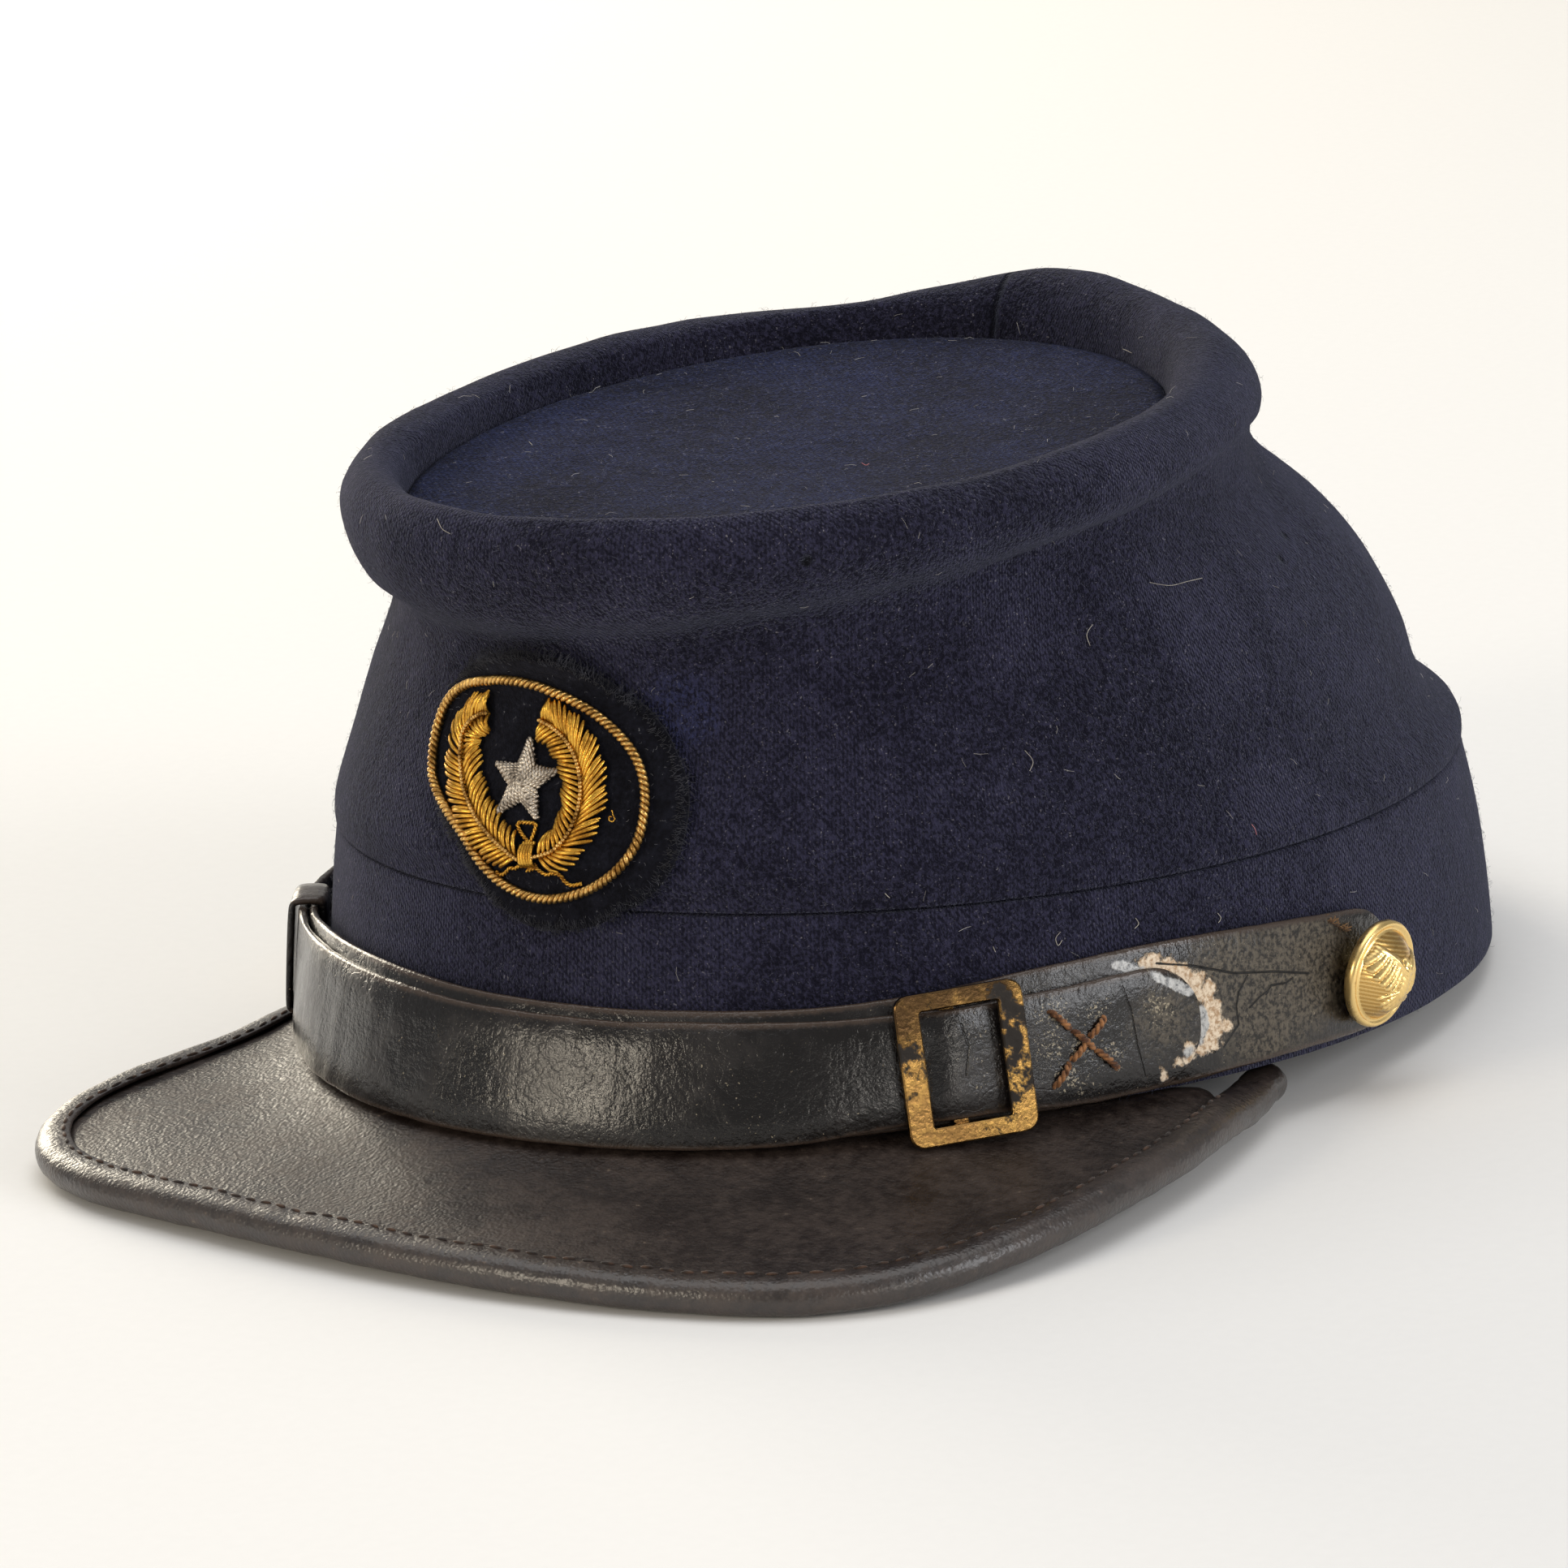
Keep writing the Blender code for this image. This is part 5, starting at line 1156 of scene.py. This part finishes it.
class FORAGECAP_OT_badge(bpy.types.Operator):
    """Embroider the badge: patch, cord, wreath, star and bow"""
    bl_idname = "forage_cap.badge"
    bl_label = "Badge"

    def execute(self, context):
        metal = context.scene.forage_cap.metal
        objects = bpy.data.objects
        badge = Badge(surface_of(objects["crown_side_wool"], objects["band_wool"]))
        badge.lay_bed()
        patch = self.patch(badge)
        dress(patch, badge_felt("black_wool_felt"), "black_wool", "badge_patch")
        self.fringe(patch, badge)
        self.oval(badge, metal)
        gold = metal_thread("gilt_bullion", metal.gold, "#a2722a", 0.27)
        for name, stem, side in (("wreath_left", STEM_RIGHT_SIDE, 1), ("wreath_right", STEM_LEFT_SIDE, -1)):
            self.spray(badge, name, stem, side, gold, metal)
        self.bow(badge, gold, metal)
        self.star(badge, metal)
        return {"FINISHED"}

    def patch(self, badge):
        """The cut felt: a disc laid on the bed with an uneven edge outside the cord, then given its thickness."""
        bm = spun_disc(30, 112)
        middle = Vector((-0.0030, -0.0006))
        reach = {}
        for point in badge.outline(BADGE_CORD, 360):
            away = point.xy - middle
            reach[round(math.degrees(math.atan2(away.y, away.x))) % 360] = away.length
        for vert in bm.verts:
            out = vert.co.xy.normalized() if vert.co.length > 0.001 else Vector((0, 0))
            turn = round(math.degrees(math.atan2(out.y, out.x))) % 360
            cord = next(reach[(turn + k) % 360] for k in (0, 1, -1, 2, -2, 3, -3, 4, -4) if (turn + k) % 360 in reach)
            margin = 0.0038 + 0.0022 * out.x + 0.0007 * wave_noise(out.to_3d(), 0.3, 4.0)
            vert.co = badge.place(*(middle + out * vert.co.length * (cord + margin)))[0]
        face_way(bm, 1, -1)
        piece = thicken(new_piece("badge_patch_felt", bm), 0.0011)
        push_out(piece, lambda point, normal: 0.00010 * wave_noise(point, 0.003, 3.0))
        return piece

    def fringe(self, patch, badge):
        """Frayed fibres round the patch's cut edge, dark ones and pale dusty ones."""
        rng = random.Random(77)
        reach_at = {}
        for vert in patch.data.vertices:
            away = badge.flat(vert.co) - PATCH_MIDDLE
            key = round(math.degrees(math.atan2(away.y, away.x)) / 3) % 120
            reach_at[key] = max(reach_at.get(key, 0.0), away.length)
        for name, material, low, high, count, long, near, radius in (
                ("badge_fringe", "black_wool_fibre", "#12121a", "#34353f", 1700, 0.0016, 0.92, 0.000028),
                ("badge_fringe_dust", "dusty_wool_fibre", "#4c4d54", "#8b8c93", 260, 0.0007, 0.62, 0.000016)):
            dusty = name == "badge_fringe_dust"
            paths = []
            for _ in range(count):
                turn = rng.uniform(0, 2 * math.pi)
                # the dust sits mostly on the side towards the wearer's left
                if dusty and rng.random() > 0.25 + 0.75 * max(0.0, math.cos(turn + 0.4)):
                    continue
                share = rng.uniform(near, 1.0)
                out = around(turn)
                bent = Vector((-out.y, out.x)) * rng.uniform(-0.7, 0.7)
                length = long * rng.uniform(0.3, 1.0)
                root = PATCH_MIDDLE + out * reach_at.get(round(math.degrees(turn) / 3) % 120, 0.02) * share
                half = root + (out * 0.8 + bent * 0.3) * length * 0.5
                tip = root + (out * 0.8 + bent) * length
                sunk = 0.0001 if dusty or share <= 0.96 else -0.0012
                paths.append([badge.place(*root, 0.00002)[0], badge.place(*half, 0.00018)[0],
                              badge.place(*tip, sunk + rng.uniform(0.0, 0.0004))[0]])
            dress(thread_piece(name, paths, radius, roundness=0), plain_fibre(material, low, high), "black_wool")

    def oval(self, badge, metal):
        """The laid gilt cord: two strands, so its ridges are 0.85 mm apart."""
        places, normals = badge.seen(BADGE_CORD, 140, 0.00066, closed=True)
        strands = twist(places, normals, 2, 0.00039, 0.0017, closed=True, steps=12)
        cord = thread_piece("badge_cord_gilt", strands, 0.00034, closed=True, roundness=2)
        dress(cord, metal_thread("gilt_cord", metal.cord, "#8a6430", 0.30), "gold_thread", "badge_cord")

    def spray(self, badge, name, stem, side, gold, metal):
        """One spray: a twisted stem with bullion threads leaning off both sides in overlapping leaves."""
        count = 200
        line = badge.outline(stem, count, False)
        length = sum((b - a).length for a, b in zip(line, line[1:]))
        rng = random.Random(5 + side)
        paths = []

        def edge(t, hand, reach):
            """A place beside the stem, square off it at a share of its length."""
            i = min(max(int(t * (count - 1)), 1), count - 2)
            way = (line[i + 1] - line[i - 1]).normalized()
            return line[i] + Vector((way.y, -way.x, 0)) * side * hand * reach

        # the outer row is longer than the inner one, so it takes more threads
        for hand, number in ((1, 40), (-1, 29)):
            for n in range(number):
                t = 0.03 + 0.96 * n / (number - 1)
                leaf = (n + (2 if hand < 0 else 0)) % 5
                width = 0.0038 * math.sin(math.pi * (0.17 + 0.62 * t)) ** 0.5
                reach = width * (0.80 + 0.24 * math.sin(math.pi * (leaf + 0.8) / 5.6)) * (1.0 if hand > 0 else 0.90)
                reach *= rng.uniform(0.98, 1.02)
                ahead = (0.78 + 0.10 * (leaf / 4 - 0.5)) * reach / length
                path = []
                for s in (0.0, 0.2, 0.45, 0.7, 0.9, 1.0):
                    place = edge(t, hand, 0).lerp(edge(min(t + ahead, 1.0), hand, reach), s)
                    place += (edge(t, hand, reach) - edge(t, hand, 0)) * 0.05 * math.sin(math.pi * s)
                    lift = 0.00030 + 0.00105 * math.sin(math.pi * (0.12 + 0.80 * s)) ** 1.2 + 0.00006 * leaf
                    path.append(badge.place(place.x, place.y, lift)[0])
                paths.append(path)
        leaves = thread_piece(name + "_bullion", paths, metal.thread / 2, roundness=2,
                              radii=[0.85, 1.0, 1.0, 1.0, 0.95, 0.62])
        dress(leaves, gold, "gold_thread", name)
        # the stem is a row of beads of thread, 0.5 mm apart
        places, normals = badge.seen(stem, int(length / 0.00050), 0.00150)
        bm = bmesh.new()
        for place in places:
            bmesh.ops.create_uvsphere(bm, u_segments=10, v_segments=7, radius=0.00031,
                                      matrix=Matrix.Translation(place))
        dress(new_piece(name + "_stem", bm), metal_thread(name + "_stem_thread", metal.cord, "#7a5524", 0.30),
              "gold_thread")

    def bow(self, badge, gold, metal):
        """The wrap that binds the sprays, the loop above it, the two tails and one sprung thread."""
        paths = []
        for x in (590, 601, 612, 623, 634):
            turn = crop((x + 2, 905), (x - 3, 950), (x, 1000))
            paths.append(smooth_path(badge.seen(turn, 10, [0.0006, 0.0013, 0.0015, 0.0015, 0.0014, 0.0008])[0], 10))
        dress(thread_piece("wreath_wrap", paths, metal.thread * 0.55, roundness=2), gold, "gold_thread")
        lines = (([(608, 905), (578, 868), (563, 838), (566, 822), (600, 822), (636, 826), (638, 842), (628, 875),
                   (616, 905)], 40), ([(604, 1000), (570, 1003), (548, 1012), (530, 1008), (508, 1030), (486, 1036),
                                       (470, 1022)], 40),
                 ([(628, 1000), (650, 1018), (684, 1038), (716, 1032), (745, 1042), (762, 1064), (790, 1082),
                   (834, 1076)], 46),
                 ([(640, 996), (606, 1010), (640, 1012), (600, 1020)], 20))
        strands = []
        for places, count in lines:
            points, normals = badge.seen(crop(*places), count, 0.00052)
            strands += twist(points, normals, 2, 0.00015, 0.0011, steps=8)
        dress(thread_piece("wreath_bow", strands, 0.00017), metal_thread("gilt_twist", metal.gold, "#7a4a1a", 0.36),
              "gold_thread", "wreath_tie")
        curl = crop((962, 766), (972, 790), (982, 806), (976, 820), (962, 814), (964, 800), (974, 800))
        sprung = badge.seen(curl, 36, [0.0003, 0.0006, 0.0009, 0.0011, 0.0012, 0.0013])[0]
        dress(thread_piece("sprung_thread", [sprung], 0.00011), gold, "gold_thread")

    def star(self, badge, metal):
        """A generic five-pointed star of silver bullion: short threads run from each point's ridge to its edges."""
        middle = badge.flat(on_picture(badge.patch, *crop((590, 640))[0], 0)[0])
        outer, waist, edge_lift, ridge_lift = 0.0058, 0.0025, 0.00045, 0.00135
        paths = []
        for k in range(5):
            ahead = math.pi / 2 + 2 * math.pi * k / 5
            tip = middle + around(ahead, outer)
            for hand in (-1, 1):
                notch = middle + around(ahead + hand * math.pi / 5, waist)
                for n in range(6):
                    share = (n + 0.25) / 6
                    ridge = middle.lerp(tip, share * 0.97)
                    edge = notch.lerp(tip, min(share + 0.08, 1.0))
                    places, normals = zip(*(
                        badge.place(*ridge.lerp(edge, s), ridge_lift * (1 - s * s) * (1 - 0.35 * share)
                                    + edge_lift * s) for s in (0.0, 0.3, 0.6, 0.85, 1.0)))
                    if (ridge - edge).length > 0.0004:
                        paths += twist(places, normals, 2, 0.00020, 0.00100, steps=9)
                    else:
                        paths.append(places)
        dress(thread_piece("star_bullion", paths, 0.00024),
              metal_thread("silver_bullion", metal.silver, "#8d8378", 0.34), "silver_thread", "badge_star")


class FORAGECAP_OT_stage(bpy.types.Operator):
    """Set the camera, the softboxes and the paper floor"""
    bl_idname = "forage_cap.stage"
    bl_label = "Stage"

    # name, place, size (m), power (W) and colour of each softbox, aimed at the cap
    softboxes = (
        ("softbox_top", (-0.15, 0.10, 1.35), (1.5, 1.5), 10.0, "#ffffff"),
        ("softbox_left_back", (-1.38, 0.74, 0.46), (0.7, 0.6), 16.0, "#fff4de"),
        ("softbox_right", (1.55, 0.05, 0.65), (0.6, 0.9), 10.0, "#fbfcff"),
        ("softbox_front_left", (-0.62, -1.45, 0.50), (0.42, 0.42), 8.5, "#fff2dc"),
        ("softbox_right_front", (1.25, -0.78, 0.28), (0.25, 0.35), 2.6, "#fff8ee"),
    )

    def execute(self, context):
        scene = context.scene
        settings = scene.forage_cap.stage
        data = bpy.data.cameras.new("camera")
        data.sensor_fit = "HORIZONTAL"
        data.sensor_width = 36
        data.lens = 36 * PICTURE_REACH / PICTURE_SIDE
        data.clip_start, data.clip_end = 0.05, 50
        camera = bpy.data.objects.new("camera", data)
        axes = Matrix((CAMERA_RIGHT, CAMERA_UP, CAMERA_BACK)).transposed().to_4x4()
        camera.matrix_world = Matrix.Translation(CAMERA_AT) @ axes
        scene.collection.objects.link(camera)
        scene.camera = camera

        for name, place, size, power, tint in self.softboxes:
            light = bpy.data.lights.new(name, "AREA")
            light.shape = "RECTANGLE"
            light.size, light.size_y = size
            light.energy = power * settings.light
            light.color = to_linear(tint)
            lamp = bpy.data.objects.new(name, light)
            aim = Vector((0, 0, 0.05)) - Vector(place)
            lamp.matrix_world = Matrix.Translation(place) @ aim.to_track_quat("-Z", "Y").to_matrix().to_4x4()
            scene.collection.objects.link(lamp)

        world = bpy.data.worlds.new("studio")
        world.use_nodes = True
        set_inputs(world.node_tree.nodes["Background"], {"Color": "#ffffff", "Strength": 0.30})
        scene.world = world
        scene.view_settings.view_transform = "Standard"
        self.floor(settings.floor)
        return {"FINISHED"}

    def floor(self, colour):
        bm = bmesh.new()
        bmesh.ops.create_grid(bm, x_segments=2, y_segments=2, size=12.0)
        floor = new_piece("paper_floor", bm)
        # seamless paper: matt, with a faint mottle of pulp 2 mm across
        material, tree, shader, place = new_material("seamless_paper", Roughness=0.9, Specular_IOR_Level=0.2)
        pulp = add_node(tree, "TexNoise", {"Vector": place, "Scale": 500, "Detail": 2})
        finish(material, shader, Base_Color=blend_colours(pulp, colour, [c * 0.97 for c in colour]))
        floor.data.materials.append(material)


class ForageCapSettings(bpy.types.PropertyGroup):
    cloth: PointerProperty(name="Cloth", description="Wool of the crown and band", type=ForageCapCloth)
    leather: PointerProperty(name="Leather", description="Peak and strap", type=ForageCapLeather)
    metal: PointerProperty(name="Metal", description="Brass and metal thread", type=ForageCapMetal)
    stage: PointerProperty(name="Stage", description="Floor and light", type=ForageCapStage)


OPERATORS = (FORAGECAP_OT_stage, FORAGECAP_OT_wool, FORAGECAP_OT_peak, FORAGECAP_OT_strap, FORAGECAP_OT_buckle,
             FORAGECAP_OT_buttons, FORAGECAP_OT_badge, FORAGECAP_OT_nap)


class FORAGECAP_PT_panel(bpy.types.Panel):
    bl_label = "Forage cap"
    bl_idname = "FORAGECAP_PT_panel"
    bl_space_type = "VIEW_3D"
    bl_region_type = "UI"
    bl_category = "Forage cap"

    def draw(self, context):
        settings = context.scene.forage_cap
        for group in (settings.cloth, settings.leather, settings.metal, settings.stage):
            box = self.layout.box()
            for name in group.bl_rna.properties.keys():
                if name not in ("rna_type", "name"):
                    box.prop(group, name)
        for operator in OPERATORS:
            self.layout.operator(operator.bl_idname)


CLASSES = (ForageCapCloth, ForageCapLeather, ForageCapMetal, ForageCapStage, ForageCapSettings, *OPERATORS,
           FORAGECAP_PT_panel)


def register():
    for cls in CLASSES:
        bpy.utils.register_class(cls)
    bpy.types.Scene.forage_cap = PointerProperty(type=ForageCapSettings)


def unregister():
    del bpy.types.Scene.forage_cap
    for cls in reversed(CLASSES):
        bpy.utils.unregister_class(cls)


def main():
    register()
    bpy.ops.forage_cap.stage()
    bpy.ops.forage_cap.wool()
    bpy.ops.forage_cap.peak()
    bpy.ops.forage_cap.strap()
    bpy.ops.forage_cap.buckle()
    bpy.ops.forage_cap.buttons()
    bpy.ops.forage_cap.badge()
    bpy.ops.forage_cap.nap()


if __name__ == "__main__":
    main()
